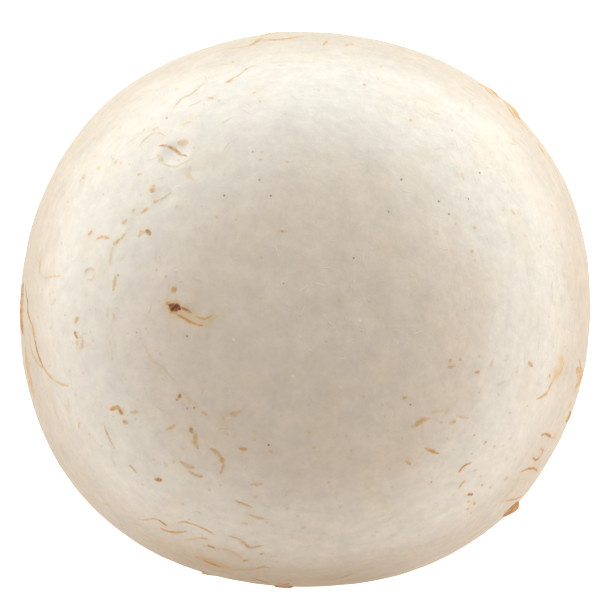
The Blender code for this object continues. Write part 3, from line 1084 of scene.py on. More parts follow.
        (Tint.TAN, 0.5, 0.11, (-13.0, -20.4), (-12.7, -20.5)),
        (Tint.BROWN, 0.35, 0.12, (-16.3, -18.8), (-16.0, -19.0)),
        (Tint.ORANGE, 0.5, 0.12, (3.2, -23.6), (4.3, -23.2)),
        (Tint.TAN, 0.5, 0.12, (2.0, -23.9), (3.2, -23.6)),
        (Tint.BROWN, 0.6, 0.13, (-4.8, -23.6), (-4.1, -23.8), (-3.2, -24.1)),
        (Tint.BROWN, 0.9, 0.17, (-2.3, -24.1), (-1.8, -24.2), (-1.4, -24.1)),
        (Tint.TAN, 0.5, 0.15, (14.5, -20.1), (15.3, -19.5), (16.2, -18.9)),
        # Lower right
        (Tint.TAN, 0.7, 0.22, (9.4, -10.3), (10.2, -9.8), (11.0, -9.5)),
        (Tint.HONEY, 0.45, 0.14, (11.0, -9.0), (12.8, -8.7)),
        (Tint.TAN, 0.6, 0.16, (12.7, -9.9), (13.3, -9.8)),
        (Tint.HONEY, 0.5, 0.11, (13.4, -9.3), (14.5, -9.5)),
        (Tint.ORANGE, 0.7, 0.13, (10.5, -12.1), (11.2, -12.4), (11.8, -12.6)),
        (Tint.ORANGE, 0.6, 0.15, (8.9, -13.2), (9.3, -13.6)),
        (Tint.BROWN, 0.6, 0.10, (13.5, -14.3), (14.0, -13.7), (14.7, -13.4)),
        (Tint.TAN, 0.8, 0.11, (13.5, -15.7), (14.1, -14.9)),
        (Tint.BROWN, 0.65, 0.13, (14.3, -16.2), (14.8, -16.2)),
        (Tint.TAN, 0.7, 0.12, (12.5, -5.0), (13.2, -4.9)),
        (Tint.ORANGE, 0.6, 0.14, (15.0, -5.5), (15.4, -5.4)),
        (Tint.HONEY, 0.5, 0.14, (16.6, -4.3), (16.4, -5.0)),
        (Tint.HONEY, 0.4, 0.13, (16.9, -6.6), (17.7, -6.2)),
        (Tint.ORANGE, 0.8, 0.12, (19.7, -4.5), (20.1, -5.0)),
        (Tint.HONEY, 0.95, 0.42, (22.7, -4.0), (22.6, -4.8), (22.2, -5.7), (21.8, -6.5)),
        (Tint.ORANGE, 0.5, 0.14, (22.9, -4.5), (22.6, -5.3), (22.2, -6.0)),
        (Tint.TAN, 0.8, 0.14, (22.0, -6.0), (21.7, -6.7), (21.3, -7.3), (20.4, -7.9)),
        (Tint.BROWN, 0.6, 0.10, (21.6, -5.6), (21.6, -6.0)),
        (Tint.ORANGE, 0.55, 0.13, (24.1, -4.3), (24.3, -5.3), (23.9, -6.3)),
        (Tint.HONEY, 0.5, 0.20, (23.5, -6.7), (23.3, -7.1)),
        (Tint.ORANGE, 0.5, 0.12, (23.5, -8.0), (23.3, -8.7)),
        (Tint.DARK, 0.8, 0.12, (23.4, -9.1), (23.2, -9.6)),
        (Tint.BROWN, 0.7, 0.13, (20.8, -11.1), (21.2, -10.9), (21.7, -11.2)),
        (Tint.TAN, 0.4, 0.11, (21.7, -11.2), (22.0, -11.3), (22.1, -10.9)),
        (Tint.BROWN, 0.8, 0.12, (20.1, -13.0), (20.4, -13.2), (20.8, -12.9)),
        (Tint.ORANGE, 0.7, 0.12, (20.8, -12.9), (21.0, -12.4), (20.8, -12.2)),
        (Tint.BROWN, 0.65, 0.11, (19.0, -14.3), (19.7, -14.0), (20.3, -14.0), (20.5, -14.3)),
        (Tint.TAN, 0.6, 0.18, (17.6, -14.9), (17.9, -14.8)),
        (Tint.ORANGE, 0.65, 0.12, (17.6, -16.8), (18.2, -16.7), (19.2, -16.3)),
        (Tint.WHITE, 0.3, 0.45, (16.5, -18.0), (17.3, -17.1)),
    )

    # Tint, strength, half width and the place
    SPOTS: tuple[tuple[Tint, float, float, Place], ...] = (
        (Tint.HONEY, 0.4, 0.20, (-23.2, 6.8)),
        (Tint.HONEY, 0.5, 0.15, (-22.5, 1.4)),
        (Tint.DARK, 0.4, 0.07, (-10.4, -2.3)),
        (Tint.BROWN, 0.6, 0.09, (-11.3, -7.9)),
        (Tint.BROWN, 0.5, 0.09, (-10.4, -8.7)),
        (Tint.BROWN, 0.5, 0.08, (-9.8, -8.6)),
        (Tint.ORANGE, 0.5, 0.10, (-12.2, 17.0)),
        (Tint.TAN, 0.4, 0.15, (-14.6, 12.0)),
        (Tint.TAN, 0.7, 0.28, (-13.4, 10.7)),
        (Tint.TAN, 0.4, 0.15, (-15.1, 8.8)),
        (Tint.HONEY, 0.4, 0.16, (-18.2, 12.6)),
        (Tint.OLIVE, 0.5, 0.22, (-19.5, 11.8)),
        (Tint.BROWN, 0.3, 0.08, (-4.6, 14.0)),
        (Tint.HONEY, 0.5, 0.12, (-3.9, 13.3)),
        (Tint.DARK, 0.5, 0.07, (-7.1, 10.1)),
        (Tint.DARK, 0.5, 0.07, (-3.0, 10.1)),
        (Tint.DARK, 0.3, 0.08, (-4.0, 11.5)),
        (Tint.BROWN, 0.4, 0.09, (-2.0, 7.0)),
        (Tint.DARK, 0.35, 0.06, (-1.9, 2.4)),
        (Tint.HONEY, 0.3, 0.22, (3.7, 22.6)),
        (Tint.OLIVE, 0.4, 0.09, (6.5, 20.4)),
        (Tint.OLIVE, 0.4, 0.11, (9.4, 22.1)),
        (Tint.HONEY, 0.5, 0.17, (16.1, 18.8)),
        (Tint.HONEY, 0.3, 0.15, (17.0, 15.3)),
        (Tint.HONEY, 0.4, 0.14, (21.7, 9.2)),
        (Tint.ORANGE, 0.4, 0.18, (23.5, 8.2)),
        (Tint.HONEY, 0.4, 0.14, (21.9, 7.0)),
        (Tint.HONEY, 0.35, 0.13, (20.8, 5.6)),
        (Tint.DARK, 0.5, 0.07, (15.4, 12.1)),
        (Tint.DARK, 0.5, 0.08, (11.8, 9.6)),
        (Tint.DARK, 0.5, 0.07, (12.7, 8.5)),
        (Tint.DARK, 0.4, 0.07, (8.5, 11.5)),
        (Tint.DARK, 0.4, 0.07, (7.4, 8.7)),
        (Tint.DARK, 0.35, 0.07, (14.4, 9.8)),
        (Tint.TAN, 0.35, 0.15, (13.4, 7.6)),
        (Tint.OLIVE, 0.3, 0.20, (11.6, 6.9)),
        (Tint.ORANGE, 0.45, 0.13, (15.0, 7.3)),
        (Tint.OLIVE, 0.4, 0.15, (14.8, 5.2)),
        (Tint.HONEY, 0.3, 0.17, (9.3, 3.1)),
        (Tint.TAN, 0.3, 0.14, (3.1, 0.9)),
        (Tint.DARK, 0.4, 0.06, (4.3, 4.6)),
        (Tint.HONEY, 0.4, 0.18, (22.9, 3.1)),
        (Tint.HONEY, 0.4, 0.16, (22.1, 0.6)),
        (Tint.TAN, 0.4, 0.13, (23.5, 1.0)),
        (Tint.ORANGE, 0.6, 0.12, (19.8, -4.7)),
        (Tint.TAN, 0.35, 0.10, (23.0, -3.2)),
        (Tint.WHITE, 0.6, 0.12, (-6.3, -2.6)),
        (Tint.WHITE, 0.6, 0.14, (-1.1, -5.8)),
        (Tint.WHITE, 0.5, 0.12, (4.8, -0.9)),
        (Tint.WHITE, 0.5, 0.12, (3.1, -6.8)),
        (Tint.TAN, 0.4, 0.14, (0.8, -12.1)),
        (Tint.HONEY, 0.4, 0.15, (2.6, -11.2)),
        (Tint.HONEY, 0.4, 0.22, (-6.3, -11.1)),
        (Tint.HONEY, 0.4, 0.17, (-4.5, -10.8)),
        (Tint.TAN, 0.4, 0.11, (-4.5, -11.4)),
        (Tint.TAN, 0.5, 0.16, (-3.0, -12.5)),
        (Tint.HONEY, 0.35, 0.14, (-2.1, -12.5)),
        (Tint.DARK, 0.4, 0.07, (-3.2, -11.9)),
        (Tint.HONEY, 0.4, 0.12, (-10.8, -12.3)),
        (Tint.HONEY, 0.4, 0.13, (-11.6, -13.4)),
        (Tint.HONEY, 0.4, 0.14, (-4.4, -16.5)),
        (Tint.HONEY, 0.35, 0.20, (-0.1, -19.2)),
        (Tint.HONEY, 0.3, 0.15, (5.6, -15.7)),
        (Tint.OLIVE, 0.4, 0.13, (2.1, -15.2)),
        (Tint.HONEY, 0.3, 0.15, (6.3, -19.5)),
        (Tint.ORANGE, 0.5, 0.16, (8.8, -7.7)),
        (Tint.DARK, 0.35, 0.07, (9.3, -8.3)),
        (Tint.TAN, 0.5, 0.13, (12.8, -4.4)),
        (Tint.TAN, 0.5, 0.14, (13.7, -4.3)),
        (Tint.HONEY, 0.4, 0.13, (15.4, -4.0)),
        (Tint.HONEY, 0.35, 0.14, (18.7, -5.4)),
        (Tint.TAN, 0.6, 0.13, (14.9, -17.0)),
        (Tint.TAN, 0.6, 0.12, (14.3, -17.5)),
        (Tint.HONEY, 0.5, 0.14, (14.4, -16.8)),
        (Tint.BROWN, 0.45, 0.08, (14.9, -11.0)),
        (Tint.DARK, 0.35, 0.08, (15.9, -11.6)),
        (Tint.BROWN, 0.5, 0.08, (11.1, -15.1)),
        (Tint.TAN, 0.5, 0.11, (15.6, -15.4)),
        (Tint.TAN, 0.5, 0.11, (16.3, -15.6)),
        (Tint.TAN, 0.4, 0.11, (15.5, -14.6)),
        (Tint.HONEY, 0.4, 0.13, (15.0, -14.1)),
        (Tint.BROWN, 0.3, 0.08, (14.7, -12.6)),
        (Tint.HONEY, 0.5, 0.16, (18.6, -13.1)),
        (Tint.HONEY, 0.35, 0.14, (17.8, -13.1)),
        (Tint.TAN, 0.6, 0.12, (18.3, -15.8)),
        (Tint.HONEY, 0.45, 0.15, (19.1, -15.2)),
        (Tint.HONEY, 0.4, 0.13, (22.5, -8.0)),
    )

    # Tint, strength, half width, height of the left and of the right edge, then the places along the flap
    FLAPS: tuple[tuple[Any, ...], ...] = (
        (Tint.BROWN, 0.9, 0.34, -0.01, 0.10, (-24.85, 2.3), (-24.95, 0.9), (-24.95, -0.6), (-24.85, -2.0)),
        (Tint.TAN, 0.8, 0.28, -0.01, 0.07, (-24.6, -3.4), (-24.3, -5.6), (-23.9, -7.6)),
        (Tint.TAN, 0.8, 0.30, 0.08, -0.01, (-3.9, 24.1), (-1.6, 24.5), (0.6, 24.7), (2.6, 24.4)),
        (Tint.ORANGE, 0.8, 0.30, 0.10, -0.01, (15.2, 20.3), (15.9, 19.8), (16.6, 19.1)),
        (Tint.ORANGE, 0.75, 0.34, 0.16, -0.01, (16.9, 19.1), (17.5, 18.7), (18.1, 17.9), (18.8, 16.9)),
        (Tint.ORANGE, 0.55, 0.24, 0.10, -0.01, (23.9, -5.2), (24.2, -5.9), (23.9, -6.7)),
        (Tint.BROWN, 0.8, 0.14, 0.10, -0.01, (23.35, -8.9), (23.2, -9.4), (23.0, -9.8)),
        (Tint.TAN, 0.7, 0.26, 0.10, -0.01, (-18.9, 16.8), (-18.5, 17.25), (-18.0, 17.8)),
        (Tint.ORANGE, 0.9, 0.24, -0.01, 0.14, (-8.9, -23.1), (-8.5, -23.3), (-8.1, -23.45)),
        (Tint.BROWN, 0.9, 0.24, -0.01, 0.14, (-2.5, -24.3), (-1.9, -24.4), (-1.3, -24.35)),
        (Tint.BROWN, 1.0, 0.45, -0.01, 0.42, (17.65, -18.0), (18.1, -17.5), (18.55, -17.0)),
    )

    LIFT = 0.012 * MM  # of a scale's middle above the skin
    DARK_LIFT = 0.03 * MM  # what the darkest marks add to that, so that they lie on top
    LINE_HEIGHT = 0.02  # what a strong scale's middle adds to that, as a share of its half width
    EDGE_HEIGHT = -0.006 * MM  # of a scale's edges, so that they run into the skin
    FRECKLES = 230
    FRECKLE_REACH = 24.0  # from the middle
    STREAKS = 170
    FLAP_MIDDLE = 0.7  # of the height of a flap's free edge
    REACH = 2.6  # how far a mark's faint halo goes, in half widths
    HALO = 0.22
    HALO_TINT = (1.0, 0.86, 0.66)

    def __init__(self, form: CapForm) -> None:
        """Place every mark on the cap.

        Args:
            form: the cap's shape.
        """
        self.form = form
        self.marks = [self._line(*row[:3], row[3:]) for row in self.LINES]
        random = np.random.default_rng(Seed.MARKS)
        self.marks += [self._spot(*row, random.uniform(-0.6, 0.6)) for row in self.SPOTS]
        self.marks += [self._flap(*row) for row in self.FLAPS]
        self.marks += self._freckles(random)
        self.marks += self._streaks(random)

    def _line(self, tint: Tint, strength: float, half_width: float, places: Sequence[Place]) -> Mark:
        """A raised line through places as seen from above."""
        on_top = self.DARK_LIFT * (1.0 - tint.value[0])
        middle = self.LIFT + on_top + self.LINE_HEIGHT * half_width * strength * MM
        heights = (self.EDGE_HEIGHT, middle, self.EDGE_HEIGHT)
        return Mark(self.form.seen(places), half_width * MM, tint, strength, heights)

    def _spot(self, tint: Tint, strength: float, half_width: float, place: Place, turn: float) -> Mark:
        """A short oval spot, long along the rim and turned a little."""
        away = math.atan2(place[1], place[0]) + math.pi / 2 + turn
        half = (half_width * math.cos(away), half_width * math.sin(away))
        ends = [(place[0] - half[0], place[1] - half[1]), (place[0] + half[0], place[1] + half[1])]
        return self._line(tint, strength, half_width, ends)

    def _flap(self, tint: Tint, strength: float, half_width: float, *rest: Any) -> Mark:
        """A loose strip of skin with a dried edge, from what is left of its row in the table."""
        left, right, *places = rest
        heights = (left * MM, max(left, right) * self.FLAP_MIDDLE * MM, right * MM)
        return Mark(self.form.seen(places), half_width * MM, tint, strength, heights)

    def _freckles(self, random: np.random.Generator) -> list[Mark]:
        """Faint small spots all over the crown, fewest at its upper right."""
        made = []
        while len(made) < self.FRECKLES:
            place = random.uniform(-self.FRECKLE_REACH, self.FRECKLE_REACH, 2)
            look = np.linalg.norm(place)
            crowded = 0.15 + 0.85 * smooth_step(6.0, 22.0, look) - 0.5 * smooth_step(0.0, 18.0, place.sum())
            half_width, strength, turn = random.uniform((0.06, 0.15, -0.5), (0.13, 0.4, 0.5))
            tint = (Tint.TAN, Tint.HONEY, Tint.OLIVE)[random.integers(3)]
            if look < self.FRECKLE_REACH and random.uniform() < crowded:
                made.append(self._spot(tint, strength, half_width, tuple(place), turn))
        return made

    def _streaks(self, random: np.random.Generator) -> list[Mark]:
        """Level scuffs on the flank, where the cap curves under."""
        made = []
        for _ in range(self.STREAKS):
            angle = random.uniform(0.0, FULL_TURN)
            level = random.uniform(self.form.low + 2.0 * MM, self.form.widest_level - 0.4 * MM)
            length, half_width, strength, slope = random.uniform((0.5, 0.06, 0.3, -0.2), (3.2, 0.17, 0.75, 0.2))
            tint = (Tint.TAN, Tint.HONEY, Tint.ORANGE, Tint.TAN, Tint.BROWN)[random.integers(5)]
            share = np.linspace(-0.5, 0.5, 4)
            angles = angle + share * length * MM / self.form.radius
            levels = level + share * length * slope * MM + random.uniform(-0.08, 0.08, 4) * MM
            middle = self.LIFT + self.LINE_HEIGHT * half_width * MM
            heights = (self.EDGE_HEIGHT, middle, self.EDGE_HEIGHT)
            made.append(Mark(self.form.flank(angles, levels), half_width * MM, tint, strength, heights))
        return made

    def halo(self, points: np.ndarray) -> np.ndarray:
        """Find how the faint halos round the marks tint some points.

        Args:
            points: an (n, 3) array.

        Returns:
            An (n, 3) array of colours to multiply by.
        """
        tint = np.ones((len(points), 3))
        for mark in self.marks:
            if mark.tint is Tint.WHITE or mark.is_flap:
                continue
            reach = mark.half_width * self.REACH + 0.15 * MM
            inside = (points > mark.points.min(axis=0) - reach) & (points < mark.points.max(axis=0) + reach)
            near = np.flatnonzero(inside.all(axis=1))
            line = smooth_path(mark.points, 3 * len(mark.points))
            away = np.linalg.norm(points[near, None] - line[None], axis=2).min(axis=1)
            share = self.HALO * mark.strength * (1.0 - smooth_step(0.3, 1.0, away / reach))
            tint[near] *= 1.0 - share[:, None] * (1.0 - np.array(self.HALO_TINT))
        return tint


@dataclass
class SkinTintAndPaintedLight:
    """The broad tint of the skin: a creamier crown with painted shade on it, shoulders paled by painted light,
    a rim dulled by painted shade, a darker browner lower rim and a flank darkened by painted shade.
    """

    form: CapForm
    marks: CapMarks
    # The crown's tint is partly a creamier skin and partly painted shade on the flat top; these say where it
    # lies and how soft its edge is
    crown_middle: Place = (1.0 * MM, -2.5 * MM)
    crown_radius: float = 14.0 * MM
    crown_softness: float = 0.30  # of its edge, as a share of its radius
    crown_sharper: float = 0.17  # what the edge's right side takes off that
    ripple_size: float = 6.0 * MM  # of what makes the tints' edges uneven
    crown: Colour = (0.975, 0.925, 0.875)
    # Painted light: the shoulders made paler and cooler
    painted_shoulder_light: Colour = (1.04, 1.06, 1.07)
    # Painted shade: the rim made duller and warmer
    rim: Colour = (0.84, 0.80, 0.745)
    # Darker and browner at the rim and upper flank round this angle
    lower_rim_tint: Colour = (0.90, 0.83, 0.75)
    lower_rim_angle: float = math.radians(-97)
    # Painted shade: the flank below the widest level made darker and warmer
    under: Colour = (0.88, 0.83, 0.76)

    def at(self, points: np.ndarray) -> np.ndarray:
        """Find the tint, with its painted light and shade, at some points.

        Args:
            points: an (n, 3) array on the cap.

        Returns:
            An (n, 4) array of colours to multiply by, with full alpha.
        """
        angle = np.arctan2(points[:, 1], points[:, 0])
        radius = np.linalg.norm(points[:, :2], axis=1)
        share = radius / (self.form.radius * self.form.swelling(angle, radius))
        height = points[:, 2] - self.form.widest_level
        above = smooth_step(-1.0 * MM, 2.0 * MM, height)
        ripple = layered_noise(points, self.ripple_size, 3, Seed.SKIN_TINT)
        from_middle = points[:, :2] - np.array(self.crown_middle)
        off = np.linalg.norm(from_middle, axis=1) / self.crown_radius + 0.05 * ripple
        turn = np.arctan2(from_middle[:, 1], from_middle[:, 0])
        soft = self.crown_softness - self.crown_sharper * np.cos(turn).clip(0.0)
        # A creamier skin and painted shade on the crown
        crown_cream_and_painted_shade = (1.0 - smooth_step(-1.0, 1.0, (off - 1.0) / soft)) * above
        # Painted light on the shoulders
        painted_shoulder_light_share = smooth_step(0.55, 0.72, share) * (1.0 - smooth_step(0.80, 0.93, share)) * above
        # Painted shade at the rim
        painted_rim_shade_share = smooth_step(0.84, 0.98, share + 0.012 * ripple) * above
        # Darker and browner round the lower rim
        from_lower_rim = np.abs((angle - self.lower_rim_angle + math.pi) % FULL_TURN - math.pi)
        at_lower_rim = 1.0 - smooth_step(math.radians(12), math.radians(34), from_lower_rim + 0.08 * ripple)
        at_lower_rim *= smooth_step(0.80, 1.0, share + 0.01 * ripple)
        at_lower_rim *= smooth_step(-2.5 * MM, 0.5 * MM, height + 0.8 * MM * ripple)
        tint = np.ones((len(points), 3))
        for amount, colour in (
            (crown_cream_and_painted_shade, self.crown),
            (painted_shoulder_light_share, self.painted_shoulder_light),
            (painted_rim_shade_share, self.rim),
            (at_lower_rim, self.lower_rim_tint),
            # Painted shade below the widest level
            (1.0 - above, self.under),
        ):
            tint *= 1.0 + amount[:, None] * (np.array(colour) - 1.0)
        tint *= self.marks.halo(points)
        return np.column_stack([tint, np.ones(len(points))])


@dataclass
class Cap:
    """The cap's skin, margin and chamber."""

    form: CapForm
    tint: SkinTintAndPaintedLight
    columns: int = 540
    crown_rows: int = 112
    flank_rows: int = 32
    lip_rows: int = 8
    chamber_rows: int = 12
    swell: float = 0.10 * MM  # broad unevenness
    swell_size: float = 9.0 * MM
    ripple: float = 0.03 * MM  # narrower unevenness
    ripple_size: float = 2.2 * MM
    inside_share: float = 0.3  # of both, on the margin and in the chamber
    # Places from above, radius and depth in millimetres
    dents: tuple[tuple[Place, float, float], ...] = (
        ((-11.4, 13.7), 1.5, 0.22),
        ((-10.0, 12.0), 0.9, 0.08),
        ((-19.0, 3.2), 0.6, 0.07),
        ((-12.4, 9.9), 1.2, 0.07),
        ((-9.8, -0.2), 1.0, 0.06),
        ((-8.6, -22.2), 1.4, 0.08),
        ((21.9, -6.6), 1.2, 0.07),
    )

    def build(self) -> bpy.types.Object:
        """Make the cap's mesh with its attributes.

        Returns:
            The cap's object.
        """
        line = self.form.profile()
        lengths = distances_along(line)
        at_widest = lengths[self.form.curve_points - 1]
        at_low = lengths[2 * self.form.curve_points - 2]
        stops = np.concatenate(
            [
                np.linspace(0.0, at_widest, self.crown_rows),
                np.linspace(at_widest, at_low, self.flank_rows)[1:],
                np.linspace(at_low, lengths[-1], self.lip_rows)[1:],
            ]
        )
        outer = np.stack([np.interp(stops, lengths, line[:, k]) for k in range(2)], axis=1)
        chamber = smooth_path([outer[-1], *self.form.chamber_side], self.chamber_rows)[1:]
        rows = np.vstack([outer, chamber, [[0.0, self.form.ceiling]]])
        angles = np.arange(self.columns) * FULL_TURN / self.columns
        radius = rows[:, :1] * self.form.swelling(angles[None], rows[:, :1])
        heights = np.repeat(rows[:, 1:], self.columns, axis=1)
        rings = np.stack([radius * np.cos(angles), radius * np.sin(angles), heights], axis=2)
        cap = ring_piece("cap_skin", rings, True, True)
        points = mesh_points(cap.data)
        bumps = self.swell * layered_noise(points, self.swell_size, 2, Seed.CAP_SWELL)
        bumps += self.ripple * layered_noise(points, self.ripple_size, 3, Seed.CAP_RIPPLE)
        for place, size, depth in self.dents:
            away = np.linalg.norm(points - self.form.seen([place]), axis=1) / (size * MM)
            bumps -= depth * MM * (1.0 - smooth_step(0.35, 1.0, away))
        outside = points[:, 2] > self.form.low + self.form.lip_radius * 1.5
        points += mesh_normals(cap.data) * np.where(outside, bumps, self.inside_share * bumps)[:, None]
        set_points(cap.data, points)
        # The broad tint, with its painted light and shade, is stored on every point
        set_attribute(cap.data, "stain", "FLOAT_COLOR", self.tint.at(points))
        return cap


@dataclass
class SkinScales:
    """The marks as thin raised scales, and the flaps, all lying on the cap's finished skin."""

    marks: CapMarks
    tint: SkinTintAndPaintedLight
    spacing: float = 0.13 * MM  # of the cross-sections along a mark
    spread: float = 2.2  # how far a section reaches, in half widths
    thickness: float = 0.10 * MM
    tall_flap: float = 0.3 * MM  # a flap that stands up at least this far is coloured all over
    boldness: float = 1.4  # multiplies every mark's strength
    sharp_angle: float = math.radians(50)
    overrun: float = 0.6  # how far a scale runs past its ends, in half widths
    ragged_size: float = 0.5 * MM
    raggedness: float = 0.22  # of its width
    top_places: tuple[float, ...] = (-1.0, -0.66, -0.33, 0.0, 0.33, 0.66, 1.0)  # from right to left
    under_places: tuple[float, ...] = (0.6, 0.0, -0.6)

    def build(self, cap: bpy.types.Object) -> bpy.types.Object:
        """Make all scales and flaps as one object.

        Args:
            cap: the finished cap.

        Returns:
            The object.
        """
        cap_faces = [list(polygon.vertices) for polygon in cap.data.polygons]
        surface = BVHTree.FromPolygons(mesh_points(cap.data).tolist(), cap_faces)
        points, faces, away, tints = [], [], [], []
        count = 0
        for number, mark in enumerate(self.marks.marks):
            rings, from_middle = self._sections(mark, surface, number)
            kept, own_faces = ring_faces(rings.shape[0], rings.shape[1], True, True)
            points.append(rings.reshape(-1, 3)[kept])
            away.append(from_middle.ravel()[kept])
            tint = (*mark.tint.value, min(1.0, self.boldness * mark.strength))
            tints.append(np.tile(tint, (len(kept), 1)))
            faces += [[corner + count for corner in face] for face in own_faces]
            count += len(kept)
        made = new_piece("skin_scales", np.vstack(points), faces)
        made.data.set_sharp_from_angle(angle=self.sharp_angle)
        set_attribute(made.data, "mark_away", "FLOAT", np.concatenate(away))
        set_attribute(made.data, "mark_tint", "FLOAT_COLOR", np.vstack(tints))
        # The same broad tint, with its painted light and shade, as on the skin below
        set_attribute(made.data, "stain", "FLOAT_COLOR", self.tint.at(np.vstack(points)))
        return made

    def _sections(self, mark: Mark, surface: BVHTree, seed: int) -> tuple[np.ndarray, np.ndarray]:
        """Work out the closed cross-sections of one mark.

        Args:
            mark: the mark.
            surface: the cap's skin.
            seed: picks how ragged it is.

        Returns:
            A (sections, places, 3) array of points, and how far each is from the coloured part, in half
            widths.
        """
        fine = smooth_path(mark.points, 12 * len(mark.points))
        lengths = distances_along(fine)
        extra = mark.half_width * self.overrun
        count = max(7, round((lengths[-1] + 2 * extra) / self.spacing))
        stops = np.linspace(-extra, lengths[-1] + extra, count)
        line = np.stack([np.interp(stops, lengths, fine[:, k]) for k in range(3)], axis=1)
        first, last = unit(fine[1] - fine[0]), unit(fine[-1] - fine[-2])
        past_end = np.maximum(stops - lengths[-1], 0.0)
        line += np.outer(np.minimum(stops, 0.0), first) + np.outer(past_end, last)
        along = np.linspace(0.0, 1.0, count)
        rough = layered_noise(line, self.ragged_size, 2, seed)
        taper = np.sin(math.pi * along.clip(0.0, 1.0)) ** 0.55
        width = mark.half_width * self.spread * taper * (1.0 + self.raggedness * rough)
        forward = unit(np.gradient(line, axis=0))
        places = np.array([*self.top_places, *self.under_places])
        left, middle, right = mark.heights
        rings = np.zeros((count, len(places), 3))
        for row in range(count):
            foot, normal, _, _ = surface.find_nearest(Vector(line[row]))
            side = unit(np.cross(np.array(normal), forward[row]))
            for column, place in enumerate(places):
                spot, up, _, _ = surface.find_nearest(foot + Vector(side * place * width[row]))
                edge = left if place > 0 else right
                height = (middle + (edge - middle) * abs(place)) * taper[row]
                if column >= len(self.top_places):
                    height -= self.thickness * taper[row] + 0.01 * MM
                rings[row, column] = np.array(spot + up * height)
        if mark.is_flap:
            free = np.where(places > 0, left, right) > 0.6 * max(left, right)
            middle_away = 0.7 if max(left, right) < self.tall_flap else 0.0
            from_edge = middle_away + np.where(free, -0.7, 0.6) * np.abs(places)
            return rings, np.tile(from_edge, (count, 1))
        return rings, np.abs(places)[None] * self.spread + (1.0 - taper[:, None]) * 0.4


@dataclass
class SkinFibres:
    """Silky fibres that lie on the skin, scattered by Geometry Nodes."""

    tint: SkinTintAndPaintedLight
    length: float = 1.0 * MM
    half_width: float = 0.02 * MM
    rise: float = 0.015 * MM
    bend: float = 0.16 * MM
    sections: int = 6
    density: float = 300_000.0  # fibres on a square metre
    smallest: float = 0.4
    largest: float = 1.3

    def _fibre(self) -> bpy.types.Object:
        """One fibre along X: a thin bent thread with pointed ends."""
        share = np.linspace(-0.5, 0.5, self.sections)
        thin = np.cos(share * math.pi) ** 0.7
        turn = np.arange(4) * FULL_TURN / 4
        across = self.bend * (0.25 - share**2)[:, None] + self.half_width * thin[:, None] * np.cos(turn)
        up = self.rise * thin[:, None] * (0.6 + 0.4 * np.sin(turn))
        along = np.repeat(share[:, None] * self.length, 4, axis=1)
        rings = np.stack([along, across, up], axis=2)
        return ring_piece("fibre", rings, True, True)

    def build(self, cap: bpy.types.Object, form: CapForm, material: bpy.types.Material) -> bpy.types.Object:
        """Scatter the fibres over the outside of the cap.

        Args:
            cap: the finished cap.
            form: its shape.
            material: the fibres' finish.

        Returns:
            The fibres as one object.
        """
        points = mesh_points(cap.data)
        above_lip = points[:, 2] > form.low + form.lip_radius
        above_ceiling = points[:, 2] > form.ceiling + MM
        outside = np.linalg.norm(points[:, :2], axis=1) > form.lip_middle_radius
        kept = above_lip & (above_ceiling | outside)
        corners = [list(polygon.vertices) for polygon in cap.data.polygons]
        faces = [face for face in corners if kept[face[0]]]
        made = new_piece("skin_fibres", points, faces)
        fibre = self._fibre()
        values = {"Fibre": fibre, "Density": self.density, "Smallest": self.smallest, "Largest": self.largest}
        run_nodes(made, scatter_tree(), values | {"Seed": Seed.FIBRES.value, "Material": material})
        bpy.data.objects.remove(fibre)
        # The same broad tint, with its painted light and shade, as on the skin below
        set_attribute(made.data, "stain", "FLOAT_COLOR", self.tint.at(mesh_points(made.data)))
        return made


# ---------------------------------------------------------------------------------------------
# Under the cap
# ---------------------------------------------------------------------------------------------


